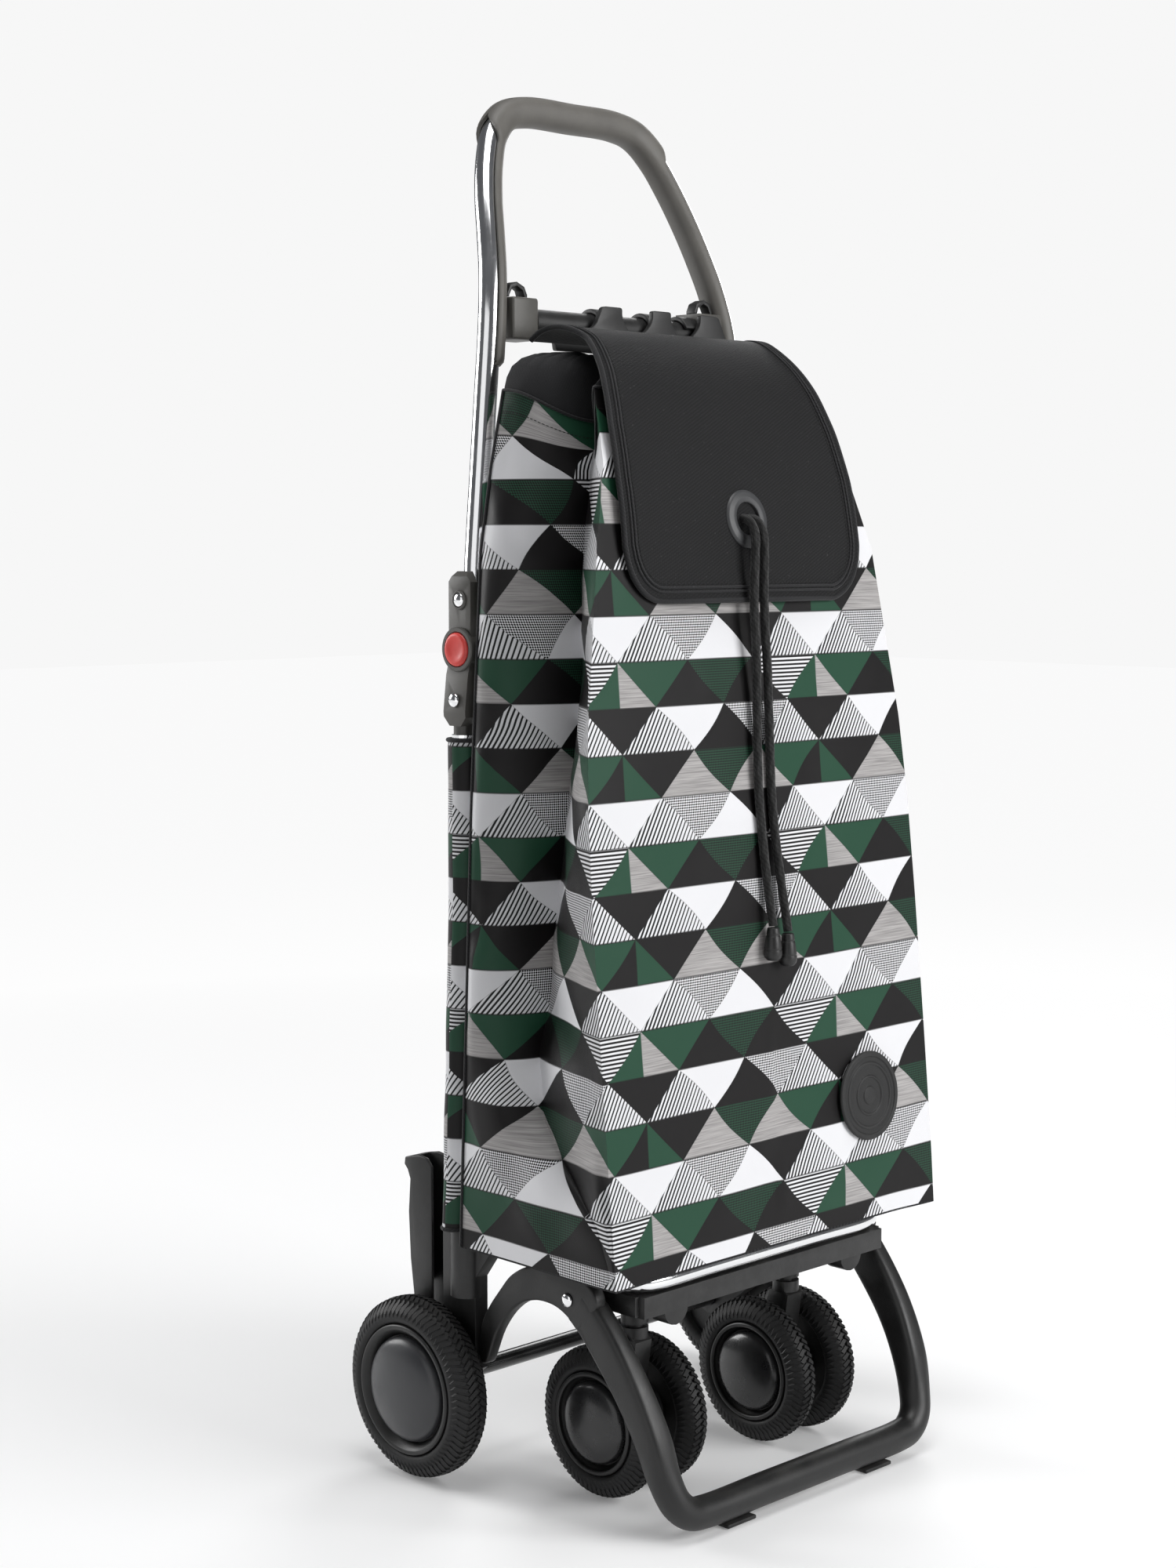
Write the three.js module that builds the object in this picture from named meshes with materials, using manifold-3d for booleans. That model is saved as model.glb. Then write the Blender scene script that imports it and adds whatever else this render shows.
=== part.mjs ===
// A four-wheeled shopping trolley: a folding chrome frame with two large rear wheels, a hinged base
// that carries twin-wheel casters and a floor stand, and a tall fabric bag with a lid.
// Millimetres, +Z up, the front faces -Y. Lengths are measured from the rear axle, which lies on X,
// and the whole assembly is shifted so that the origin is under the middle of its footprint.
import * as THREE from "three";
import { mergeVertices } from "three/addons/utils/BufferGeometryUtils.js";
import Module from "manifold-3d";

const wasm = await Module();
wasm.setup();

// ---- driving dimensions ----
const rearWheel = { radius: 72.5, width: 34, innerX: 170, hubRadius: 52.5 };
const casterWheel = { radius: 60, width: 26, hubRadius: 41, pairOffset: 25 };
const caster = { x: 90, stemY: -146, axleY: -136, axleRadius: 4, bossTop: 177 };
const axleRadius = 7;
const axleHalfLength = 197;
const stand = { tubeRadius: 12.5, barY: -244, barZ: 16.5, footHeight: 4 };
const lowerTube = { x: 167, y: -36, radius: 10, bore: 8.8, bottom: 152, top: 594 };
const upperTubeRadius = 9;
const hinge = { y: -36.5, z: 698, innerX: 142.5, outerX: 172, slotInnerX: 145.5, slotOuterX: 164.7 };
const button = { z: 660, radius: 13, proud: 5 };
const crossBar = { y: -28, z: 914, radius: 11, halfLength: 92 };
const gripRadius = 12.3;
const rail = { x: 147, radius: 7.5, rearY: -55, rearZ: 196.5, frontY: -200, frontZ: 186 };
const bag = { wall: 3, halfWidthBottom: 189, halfWidthTop: 172, bottomRear: 207, bottomFront: 200 };
const flapThickness = 3;
const eyelet = { z: 760, outer: 23, inner: 13 };
const badgeSize = { radius: 36, thickness: 3, x: 108, z: 296 };
const cordRadius = 3.6;
const gap = 0.3;
const footprintShiftY = 0.5 * (stand.tubeRadius - stand.barY - rearWheel.radius);

// ---- finishes ----
const finish = (color, roughness, metalness = 0) =>
  new THREE.MeshStandardMaterial({ color, roughness, metalness });
const finishes = {
  chrome: finish(0xd8dadd, 0.12, 1),
  greyPlastic: finish(0x57544f, 0.5),
  blackPlastic: finish(0x2b2b2b, 0.55),
  blackPaint: finish(0x151515, 0.3),
  rubber: finish(0x1c1c1c, 0.8),
  hubPlastic: finish(0x1e1f21, 0.35),
  redPlastic: finish(0xd9423c, 0.4),
  printedFabric: finish(0x8f9392, 0.6),
  blackFabric: finish(0x2a2a2b, 0.85),
  cord: finish(0x151515, 0.8),
};

// ---- solids ----
const solidOf = (geometry) => {
  const bare = geometry.clone();
  bare.deleteAttribute("normal");
  bare.deleteAttribute("uv");
  const merged = mergeVertices(bare, 1e-4);
  return new wasm.Manifold(
    new wasm.Mesh({
      numProp: 3,
      vertProperties: new Float32Array(merged.attributes.position.array),
      triVerts: new Uint32Array(merged.index.array),
    }),
  );
};
const geometryOf = (solid) => {
  const mesh = solid.getMesh();
  const geometry = new THREE.BufferGeometry();
  geometry.setAttribute("position", new THREE.BufferAttribute(mesh.vertProperties, 3));
  geometry.setIndex(new THREE.BufferAttribute(mesh.triVerts, 1));
  geometry.computeVertexNormals();
  return geometry;
};
const join = (...parts) => geometryOf(parts.map(solidOf).reduce((a, b) => a.add(b)));
const cut = (body, ...tools) =>
  geometryOf(tools.map(solidOf).reduce((a, b) => a.subtract(b), solidOf(body)));
const common = (a, b) => geometryOf(solidOf(a).intersect(solidOf(b)));

const block = (x0, x1, y0, y1, z0, z1) =>
  new THREE.BoxGeometry(x1 - x0, y1 - y0, z1 - z0).translate(
    0.5 * (x0 + x1),
    0.5 * (y0 + y1),
    0.5 * (z0 + z1),
  );
// A round bar along X between x0 and x1.
const barX = (radius, x0, x1, y, z, sides = 20) =>
  new THREE.CylinderGeometry(radius, radius, x1 - x0, sides)
    .rotateZ(Math.PI / 2)
    .translate(0.5 * (x0 + x1), y, z);
// A round bar along Z between z0 and z1.
const barZ = (radius, z0, z1, x, y, sides = 20) =>
  new THREE.CylinderGeometry(radius, radius, z1 - z0, sides)
    .rotateX(Math.PI / 2)
    .translate(x, y, 0.5 * (z0 + z1));
// An outline in the YZ plane, as [y, z] points, extruded along X from x0 to x1.
const sideOutline = (points, x0, x1) => {
  const shape = new THREE.Shape(points.map(([y, z]) => new THREE.Vector2(y, z)));
  return new THREE.ExtrudeGeometry(shape, { depth: x1 - x0, bevelEnabled: false })
    .applyMatrix4(new THREE.Matrix4().set(0, 0, 1, x0, 1, 0, 0, 0, 0, 1, 0, 0, 0, 0, 0, 1));
};
// An outline in the XZ plane, as a shape, extruded along Y from y0 to y1.
const frontOutline = (shape, y0, y1) =>
  new THREE.ExtrudeGeometry(shape, { depth: y1 - y0, bevelEnabled: false, curveSegments: 6 })
    .rotateX(Math.PI / 2)
    .translate(0, y1, 0);
const polygon = (points) => new THREE.Shape(points.map(([x, z]) => new THREE.Vector2(x, z)));
// A body of revolution about X, from [radius, x] points that start and end on the axis or close.
const turnedX = (profile, segments) =>
  new THREE.LatheGeometry(profile.map(([r, x]) => new THREE.Vector2(r, x)), segments).rotateZ(
    -Math.PI / 2,
  );

// A sweep path that keeps its section square to one fixed direction, so that it never twists.
class SweepPath extends THREE.CatmullRomCurve3 {
  constructor(points, fixed) {
    super(points, false, "centripetal");
    this.fixed = fixed;
  }
  computeFrenetFrames(segments) {
    const frames = { tangents: [], normals: [], binormals: [] };
    for (let i = 0; i <= segments; i += 1) {
      const tangent = this.getTangentAt(i / segments);
      const normal = new THREE.Vector3().crossVectors(this.fixed, tangent).normalize();
      frames.tangents.push(tangent);
      frames.normals.push(normal);
      frames.binormals.push(new THREE.Vector3().crossVectors(tangent, normal));
    }
    return frames;
  }
}
const vectors = (points) => points.map(([x, y, z]) => new THREE.Vector3(x, y, z));
const mirrored = (points) => [
  ...points.map(([x, y, z]) => [-x, y, z]),
  ...points.filter(([x]) => x !== 0).reverse(),
];
const circleShape = (radius, sides) => {
  const points = [];
  for (let i = 0; i < sides; i += 1) {
    const a = (2 * Math.PI * i) / sides;
    points.push([radius * Math.cos(a), radius * Math.sin(a)]);
  }
  return polygon(points);
};
const sweep = (shape, path, steps) =>
  new THREE.ExtrudeGeometry(shape, { steps, bevelEnabled: false, extrudePath: path });
const towardsFront = new THREE.Vector3(0, -1, 0);
const upwards = new THREE.Vector3(0, 0, 1);

// ---- assembly ----
const trolley = new THREE.Group();
const assembly = new THREE.Group();
assembly.position.y = footprintShiftY;
trolley.add(assembly);
const addPiece = (name, geometry, material, parent = assembly) => {
  const mesh = new THREE.Mesh(geometry, material);
  mesh.name = name;
  parent.add(mesh);
  return mesh;
};
const sides = [
  { name: "left", sign: -1 },
  { name: "right", sign: 1 },
];
// Mirrors a right-hand geometry to the left and keeps its faces outwards.
const onSide = (geometry, sign) => {
  if (sign > 0) return geometry;
  const flipped = geometry.clone().scale(-1, 1, 1);
  const loose = flipped.index ? flipped.toNonIndexed() : flipped;
  const p = loose.attributes.position;
  for (let i = 0; i < p.count; i += 3) {
    const a = new THREE.Vector3().fromBufferAttribute(p, i + 1);
    const b = new THREE.Vector3().fromBufferAttribute(p, i + 2);
    p.setXYZ(i + 1, b.x, b.y, b.z);
    p.setXYZ(i + 2, a.x, a.y, a.z);
  }
  return loose;
};

// ---- handle: one bent tube, its soft grip, and the cross bar between the uprights ----
const handleSide = [
  [155, -36.5, 684],
  [155, -36.5, 702],
  [155, -36.5, 721],
  [153.4, -36.2, 740],
  [143.5, -33.5, 830],
  [134.5, -31, 915],
  [128.3, -25, 950],
  [121.9, -16, 980],
  [114.5, -5.5, 1010],
  [104, 5, 1040],
  [92, 12.5, 1063],
  [74, 17, 1080],
  [50, 18, 1086],
];
const handlePoints = mirrored([...handleSide, [0, 18, 1086.5]]);
const handlePath = new SweepPath(vectors(handlePoints), towardsFront);
const pivotBore = (radius) =>
  sides.map(({ sign }) => barX(radius, sign * 155 - 20, sign * 155 + 20, hinge.y, hinge.z, 12));
addPiece(
  "handle_tube",
  cut(sweep(circleShape(upperTubeRadius, 10), handlePath, 52), ...pivotBore(3.4)),
  finishes.chrome,
);

// The grip covers the inner half of the uprights and goes all the way round along the top.
const ringSection = (inner, outer, from, to, steps) => {
  const points = [];
  for (let i = 0; i <= steps; i += 1) {
    const a = from + ((to - from) * i) / steps;
    points.push([outer * Math.cos(a), outer * Math.sin(a)]);
  }
  for (let i = steps; i >= 0; i -= 1) {
    const a = from + ((to - from) * i) / steps;
    points.push([inner * Math.cos(a), inner * Math.sin(a)]);
  }
  return polygon(points);
};
const partOfPath = (from, to, count) => {
  const points = [];
  for (let i = 0; i <= count; i += 1) {
    points.push(handlePath.getPointAt(from + ((to - from) * i) / count));
  }
  return new SweepPath(points, towardsFront);
};
const gripStart = 0.2;
const gripFull = 0.4;
const gripInner = upperTubeRadius + 1.1;
const halfSection = ringSection(gripInner, gripRadius, 0.5 * Math.PI, 1.5 * Math.PI, 5);
const fullSection = circleShape(gripRadius, 12);
const fullHole = new THREE.Path();
fullHole.setFromPoints(circleShape(gripInner, 12).getPoints());
fullSection.holes.push(fullHole);
addPiece(
  "handle_grip",
  join(
    sweep(halfSection, partOfPath(gripStart, gripFull + 0.01, 16), 11),
    sweep(fullSection, partOfPath(gripFull, 1 - gripFull, 16), 16),
    sweep(halfSection, partOfPath(1 - gripFull - 0.01, 1 - gripStart, 16), 11),
  ),
  finishes.greyPlastic,
);
addPiece(
  "cross_bar",
  barX(crossBar.radius, -crossBar.halfLength - 18, crossBar.halfLength + 18, crossBar.y, crossBar.z),
  finishes.blackPlastic,
);
const clampBody = cut(
  block(crossBar.halfLength, 119.5, crossBar.y - 14, crossBar.y + 13, crossBar.z - 15, crossBar.z + 18),
  barX(crossBar.radius + gap, crossBar.halfLength - 5, crossBar.halfLength + 19, crossBar.y, crossBar.z),
);
const clipShape = polygon([
  [96, 932.4], [99, 932.4], [101, 938], [107, 941], [112, 939], [115, 934], [115, 932.4],
  [117.5, 932.4], [117.5, 935], [114, 942], [107, 944.5], [99, 941], [96, 935],
]);
for (const { name, sign } of sides) {
  addPiece(`cross_bar_clamp_${name}`, onSide(clampBody, sign), finishes.greyPlastic);
  const clip = frontOutline(clipShape, crossBar.y - 5, crossBar.y + 5);
  addPiece(`bag_strap_clip_${name}`, onSide(clip, sign), finishes.blackPlastic);
}

// ---- fold hinges: a forked housing plugged into each lower tube, a pin and a release button ----
const housingFront = frontOutline(
  polygon([
    [hinge.innerX, 646], [148, 640], [154, 620], [157, 601], [177, 601], [178, 612], [175, 640],
    [hinge.outerX, 652], [hinge.outerX, 716], [169, 720], [145, 720], [hinge.innerX, 716],
  ]),
  -60,
  -15,
);
const housingSide = sideOutline(
  [
    [-43, 601], [-49, 608], [-49, 712], [-42, 720], [-31, 720], [-24, 712], [-24, 608], [-30, 601],
  ],
  130,
  190,
);
const housingBody = cut(
  join(
    common(housingFront, housingSide),
    barZ(lowerTube.bore - 0.4, 572, 604, lowerTube.x, lowerTube.y),
    barX(16, hinge.slotOuterX, hinge.outerX + 1.5, hinge.y, button.z, 28),
  ),
  block(hinge.slotInnerX, hinge.slotOuterX, -60, -10, 646, 730),
  barX(3.3, 130, 190, hinge.y, hinge.z, 12),
  barX(3.3, 130, 190, hinge.y, 621, 12),
  barX(button.radius + gap, hinge.slotOuterX - 1, 190, hinge.y, button.z, 24),
);
const rivet = (x0, x1, y, z, shank, head) =>
  join(
    barX(shank, x0, x1, y, z, 8),
    barX(head, x0 - 1.8, x0, y, z, 12),
    barX(head, x1, x1 + 1.8, y, z, 12),
  );
const tubeRing = (radius, bore) => {
  const shape = circleShape(radius, 20);
  const hole = new THREE.Path();
  hole.setFromPoints(circleShape(bore, 20).getPoints());
  shape.holes.push(hole);
  return shape;
};
const buttonBody = turnedX(
  [
    [0, -1], [button.radius - 2, -1], [button.radius, 1], [button.radius, 7.3 + button.proud - 2],
    [button.radius - 1.5, 7.3 + button.proud - 0.4], [0, 7.3 + button.proud],
  ],
  24,
).translate(hinge.slotOuterX + 0.5, hinge.y, button.z);
for (const { name, sign } of sides) {
  const tube = new THREE.ExtrudeGeometry(tubeRing(lowerTube.radius, lowerTube.bore), {
    depth: lowerTube.top - lowerTube.bottom,
    bevelEnabled: false,
  }).translate(sign * lowerTube.x, lowerTube.y, lowerTube.bottom);
  addPiece(`lower_tube_${name}`, tube, finishes.chrome);
  addPiece(`hinge_housing_${name}`, onSide(housingBody, sign), finishes.greyPlastic);
  const pin = rivet(hinge.innerX - gap, hinge.outerX + gap, hinge.y, hinge.z, 3, 5.5);
  addPiece(`hinge_pin_${name}`, onSide(pin, sign), finishes.chrome);
  const housingRivet = rivet(151.4, 178.2, hinge.y, 621, 3, 5.5);
  addPiece(`housing_rivet_${name}`, onSide(housingRivet, sign), finishes.chrome);
  addPiece(`release_button_${name}`, onSide(buttonBody, sign), finishes.redPlastic);
}

// ---- rear legs, climbing skids, axle and wheels ----
const wheelCentreZ = rearWheel.radius;
const basePivot = { y: rail.rearY, z: rail.rearZ, radius: 3.3 };
const legX0 = 155.8;
const legX1 = 169;
const circlePoints = (y, z, radius, from, to, steps) => {
  const points = [];
  for (let i = 0; i <= steps; i += 1) {
    const a = from + ((to - from) * i) / steps;
    points.push([y + radius * Math.cos(a), z + radius * Math.sin(a)]);
  }
  return points;
};
const legPlate = sideOutline(
  [
    ...circlePoints(0, wheelCentreZ, 15, -0.8 * Math.PI, 0.42 * Math.PI, 10),
    [-10, 92], [-10, 206], [-66, 206], [-66, 190], [-48, 166], [-48, 92],
  ],
  legX0,
  legX1,
);
const legBody = cut(
  join(legPlate, barZ(13, 150, 204, lowerTube.x, lowerTube.y, 20)),
  barZ(lowerTube.radius + gap, 151.5, 230, lowerTube.x, lowerTube.y, 20),
  barX(axleRadius + gap, 140, 180, 0, wheelCentreZ, 20),
  barX(basePivot.radius, 140, 190, basePivot.y, basePivot.z, 12),
);
const skidOutline = [
  [4, 96], [18, 98], [25, 130], [30, 167], [32, 205], [30, 232], [33, 239], [37, 243],
  [36, 249], [28, 251], [18, 253], [10, 252], [4, 246],
];
const skidBody = cut(
  join(sideOutline(skidOutline, 147, legX1), block(legX0, 161, -9.6, 6, 110, 200)),
  block(150, 166, -2, 27, 120, 238),
  block(150, 166, -2, 27, 236, 270),
);
const skidCleared = cut(skidBody, barZ(13 + gap, 149, 205, lowerTube.x, lowerTube.y, 20));
addPiece(
  "rear_axle",
  barX(axleRadius, -axleHalfLength, axleHalfLength, 0, wheelCentreZ),
  finishes.blackPaint,
);
const tyreProfile = ({ radius, width, hubRadius }) => {
  const half = 0.5 * width;
  return [
    [hubRadius, -half + 2], [radius - 12, -half], [radius - 4, -half + 4], [radius, -half + 11],
    [radius, half - 11], [radius - 4, half - 4], [radius - 12, half], [hubRadius, half - 2],
    [hubRadius, -half + 2],
  ];
};
const hubProfile = ({ width, hubRadius }, bore, closedAt) => {
  const half = 0.5 * width;
  const rim = hubRadius - gap;
  return [
    [bore, -half + 3], [0.4 * rim, -half + 3], [0.5 * rim, -half + 10], [rim, -half + 8],
    [rim, half - 3], [0.8 * rim, half - 4], [0.5 * rim, half + 1.5], [0, half + 3],
    [0, closedAt], [bore, closedAt], [bore, -half + 3],
  ];
};
const wheelSegments = 24;
for (const { name, sign } of sides) {
  addPiece(`rear_leg_${name}`, onSide(legBody, sign), finishes.blackPlastic);
  addPiece(`rear_skid_${name}`, onSide(skidCleared, sign), finishes.blackPlastic);
  const pin = rivet(rail.x - rail.radius - gap, legX1 + gap, basePivot.y, basePivot.z, 3, 5);
  addPiece(`base_pivot_${name}`, onSide(pin, sign), finishes.chrome);
  const centreX = rearWheel.innerX + 0.5 * rearWheel.width;
  const tyre = turnedX(tyreProfile(rearWheel), wheelSegments);
  const hub = turnedX(hubProfile(rearWheel, axleRadius + gap, axleHalfLength - centreX + 1), wheelSegments);
  const place = (geometry) => onSide(geometry.translate(centreX, 0, wheelCentreZ), sign);
  addPiece(`rear_tyre_${name}`, place(tyre), finishes.rubber);
  addPiece(`rear_hub_${name}`, place(hub), finishes.hubPlastic);
}

// ---- folding base: chrome rail, caster cross member and floor stand ----
const railPoints = mirrored([
  [rail.x, rail.rearY + 8, rail.rearZ + 0.5],
  [rail.x, -100, 193],
  [rail.x, -172, 188],
  [rail.x - 3.5, -186, 187],
  [rail.x - 12, -196, 186.3],
  [rail.x - 27, rail.frontY, rail.frontZ],
  [60, rail.frontY, rail.frontZ],
  [0, rail.frontY, rail.frontZ],
]);
const railBody = cut(
  sweep(circleShape(rail.radius, 10), new SweepPath(vectors(railPoints), upwards), 44),
  barX(basePivot.radius, 130, 165, basePivot.y, basePivot.z, 12),
  barX(basePivot.radius, -165, -130, basePivot.y, basePivot.z, 12),
);
addPiece("base_rail", railBody, finishes.chrome);

const standRivet = { y: -150, z: 170 };
const casterBoss = (x) =>
  cut(
    join(
      barZ(15, 146, 170, x, caster.stemY, 20),
      block(x - 14, x + 14, -186, caster.stemY, 160, 176),
    ),
    barZ(7 + gap, 140, 172, x, caster.stemY, 16),
  );
const memberArm = cut(
  block(133, 144.9, -200, -138, 162, 177.5),
  barX(basePivot.radius, 125, 160, standRivet.y, standRivet.z, 12),
);
addPiece(
  "front_cross_member",
  join(
    block(-141, 141, -206, -184, 161, 177.5),
    memberArm,
    onSide(memberArm, -1),
    casterBoss(caster.x),
    casterBoss(-caster.x),
    frontOutline(polygon(circlePoints(104, 162, 13, Math.PI, 2 * Math.PI, 8)), -204, -186),
    frontOutline(polygon(circlePoints(-104, 162, 13, Math.PI, 2 * Math.PI, 8)), -204, -186),
  ),
  finishes.blackPlastic,
);
const standPoints = mirrored([
  [158, -158, 166],
  [157.5, -170, 156],
  [155.5, -206, 112],
  [152.5, -226, 76],
  [149.5, -235, 48],
  [143, -241, 29],
  [131, -243.5, 19],
  [116, stand.barY, stand.barZ],
  [50, stand.barY, stand.barZ],
  [0, stand.barY, stand.barZ],
]);
const standPath = new SweepPath(vectors(standPoints), towardsFront);
const archOutline = [
  [-50, 98], [-50, 118], [-52, 132], [-62, 148], [-84, 175], [-98, 184], [-114, 190],
  [-130, 192.5], [-158, 192.5], [-176, 184], [-182, 172], [-160, 146], [-150, 156],
  [-136, 162], [-118, 163], [-100, 158], [-84, 146], [-70, 128], [-60, 104], [-57, 98],
];
const archPlate = cut(
  sideOutline(archOutline, 155.4, 167),
  barX(basePivot.radius, 150, 175, standRivet.y, standRivet.z, 12),
);
addPiece(
  "stand_frame",
  join(sweep(circleShape(stand.tubeRadius, 10), standPath, 42), archPlate, onSide(archPlate, -1)),
  finishes.blackPlastic,
);
for (const { name, sign } of sides) {
  const pin = rivet(133 - gap, 167 + gap, standRivet.y, standRivet.z, 3, 5.5);
  addPiece(`stand_rivet_${name}`, onSide(pin, sign), finishes.chrome);
  const foot = block(66, 98, stand.barY - 9, stand.barY + 9, 0, stand.footHeight - 3 * gap);
  addPiece(`stand_foot_${name}`, onSide(foot, sign), finishes.rubber);
}

// ---- casters: a swivelling stem with a centre arm, and a wheel on each side of it ----
const casterSegments = 20;
const casterAxleReach = 34;
const casterHubDepth = casterAxleReach - casterWheel.pairOffset + 1;
const casterArm = [
  [caster.stemY - 10, 122], [caster.stemY - 6, 92], [caster.axleY - 11, 60],
  [caster.axleY - 7, 51], [caster.axleY + 7, 51], [caster.axleY + 11, 60],
  [caster.stemY + 17, 100], [caster.stemY + 10, 124], [caster.stemY - 4, 127],
];
for (const { name, sign } of sides) {
  const x = sign * caster.x;
  const fork = cut(
    join(
      barZ(7, 118, 170, x, caster.stemY, 16),
      barZ(11, 124, 133, x, caster.stemY, 20),
      barZ(11, 136, 145.5, x, caster.stemY, 20),
      sideOutline(casterArm, x - 9, x + 9),
    ),
    barX(caster.axleRadius + gap, x - 12, x + 12, caster.axleY, casterWheel.radius, 16),
  );
  addPiece(`caster_stem_${name}`, fork, finishes.blackPlastic);
  addPiece(
    `caster_axle_${name}`,
    barX(caster.axleRadius, x - casterAxleReach, x + casterAxleReach, caster.axleY, casterWheel.radius, 12),
    finishes.blackPaint,
  );
  for (const half of sides) {
    const tyre = turnedX(tyreProfile(casterWheel), casterSegments);
    const hub = turnedX(hubProfile(casterWheel, caster.axleRadius + gap, casterHubDepth), casterSegments);
    const place = (geometry) =>
      onSide(geometry, half.sign).translate(
        x + half.sign * casterWheel.pairOffset,
        caster.axleY,
        casterWheel.radius,
      );
    addPiece(`caster_tyre_${name}_${half.name}`, place(tyre), finishes.rubber);
    addPiece(`caster_hub_${name}_${half.name}`, place(hub), finishes.hubPlastic);
  }
}

// ---- bag: an open-topped fabric shell on a stiff base board ----
const bagSide = (inset, topZ) => [
  [-52 - inset, bag.bottomRear + inset], [-222 + inset, bag.bottomFront + inset], [-172 + inset, 737],
  [-163 + inset, 784], [-146 + inset, 838], [-132 + inset, topZ], [-66, topZ],
  [-56 - inset, 862], [-54 - inset, 700],
];
const bagFront = (inset, topZ) => {
  const bottom = bag.bottomFront - 5 + inset;
  return [
    [-bag.halfWidthBottom + inset, bottom], [bag.halfWidthBottom - inset, bottom],
    [bag.halfWidthTop - inset, 735], [158 - inset, 800], [150 - inset, topZ],
    [-150 + inset, topZ], [-158 + inset, 800], [-bag.halfWidthTop + inset, 735],
  ];
};
const bagSolid = (inset, topZ) =>
  common(
    sideOutline(bagSide(inset, topZ), -240, 240),
    frontOutline(polygon(bagFront(inset, topZ)), -260, 0),
  );
// Each side panel runs on behind the bag and wraps round the outside of the lower tube.
const sideX = (z) =>
  bag.halfWidthBottom -
  ((bag.halfWidthBottom - bag.halfWidthTop) * (z - bag.bottomFront)) / (735 - bag.bottomFront);
const wrapTop = 460;
const sideWrap = frontOutline(
  polygon([
    [sideX(bag.bottomRear) - bag.wall, bag.bottomRear], [sideX(bag.bottomRear), bag.bottomRear],
    [sideX(wrapTop), wrapTop], [sideX(wrapTop) - bag.wall, wrapTop],
  ]),
  -54,
  -30,
);
addPiece(
  "bag_body",
  join(cut(bagSolid(0, 858), bagSolid(bag.wall, 880)), sideWrap, onSide(sideWrap, -1)),
  finishes.printedFabric,
);
addPiece("bag_base_board", block(-180, 180, -212, -60, 212, 216), finishes.blackPlastic);

// Hanger: a moulded strip at the top of the bag with three tabs that hook over the cross bar.
const hangerOutline = [[-70, 892], [118, 892], [122, 908]];
for (const x of [99, 42, -15]) {
  hangerOutline.push([x + 15, 910], [x + 10, 929.5], [x - 10, 929.5], [x - 15, 910]);
}
hangerOutline.push([-74, 908]);
addPiece(
  "bag_hanger",
  join(
    frontOutline(polygon(hangerOutline), -47, -42.5),
    ...[99, 42, -15].map((x) => block(x - 10, x + 10, -44, x > 90 ? -42.6 : -26, 926.5, 929.5)),
  ),
  finishes.blackPlastic,
);

// Badge: a plain round rubber disc on the lower corner of the front panel.
const frontSlope = Math.atan2(50, 737 - bag.bottomFront);
const badge = new THREE.CylinderGeometry(badgeSize.radius, badgeSize.radius, badgeSize.thickness, 32);
badge.rotateX(-frontSlope);
const frontY = (z) => -222 + ((z - bag.bottomFront) * 50) / (737 - bag.bottomFront);
badge.translate(badgeSize.x, frontY(badgeSize.z) - 0.5 * badgeSize.thickness - 0.8, badgeSize.z);
addPiece("bag_badge", badge, finishes.rubber);

// ---- lid: a curved flap hinged behind the mouth of the bag, with an eyelet for the cords ----
const flapLine = [
  [-60, 897], [-70, 903.5], [-82, 906], [-97, 904], [-112, 897], [-127, 884], [-140, 867],
  [-153, 840], [-164, 810], [-172, 782], [-179, 745], [-184.5, 698],
];
const offsetLine = (line, distance) =>
  line.map(([y, z], i) => {
    const [y0, z0] = line[Math.max(i - 1, 0)];
    const [y1, z1] = line[Math.min(i + 1, line.length - 1)];
    const length = Math.hypot(y1 - y0, z1 - z0);
    return [y - (distance * (z1 - z0)) / length, z + (distance * (y1 - y0)) / length];
  });
const flapBand = [
  ...offsetLine(flapLine, 0.5 * flapThickness),
  ...offsetLine(flapLine, -0.5 * flapThickness).reverse(),
];
const flapFront = new THREE.Shape();
flapFront.moveTo(-98, 696);
flapFront.lineTo(98, 696);
flapFront.quadraticCurveTo(133, 696, 134, 735);
flapFront.lineTo(133, 790);
flapFront.quadraticCurveTo(130, 850, 110, 897);
flapFront.lineTo(104, 915);
flapFront.lineTo(-104, 915);
flapFront.lineTo(-110, 897);
flapFront.quadraticCurveTo(-130, 850, -133, 790);
flapFront.lineTo(-134, 735);
flapFront.quadraticCurveTo(-133, 696, -98, 696);
const eyeletY = -176.3;
const alongY = (radius, y0, y1, z, segments = 24) =>
  new THREE.CylinderGeometry(radius, radius, y1 - y0, segments).translate(0, 0.5 * (y0 + y1), z);
addPiece(
  "bag_flap",
  cut(
    common(sideOutline(flapBand.reverse(), -150, 150), frontOutline(flapFront, -240, 0)),
    alongY(eyelet.outer + gap, -200, -150, eyelet.z),
  ),
  finishes.blackFabric,
);
addPiece(
  "lid_eyelet",
  cut(
    alongY(eyelet.outer, eyeletY - 3, eyeletY + 3, eyelet.z),
    alongY(eyelet.inner, eyeletY - 9, eyeletY + 9, eyelet.z, 20),
  ),
  finishes.blackPlastic,
);

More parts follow.
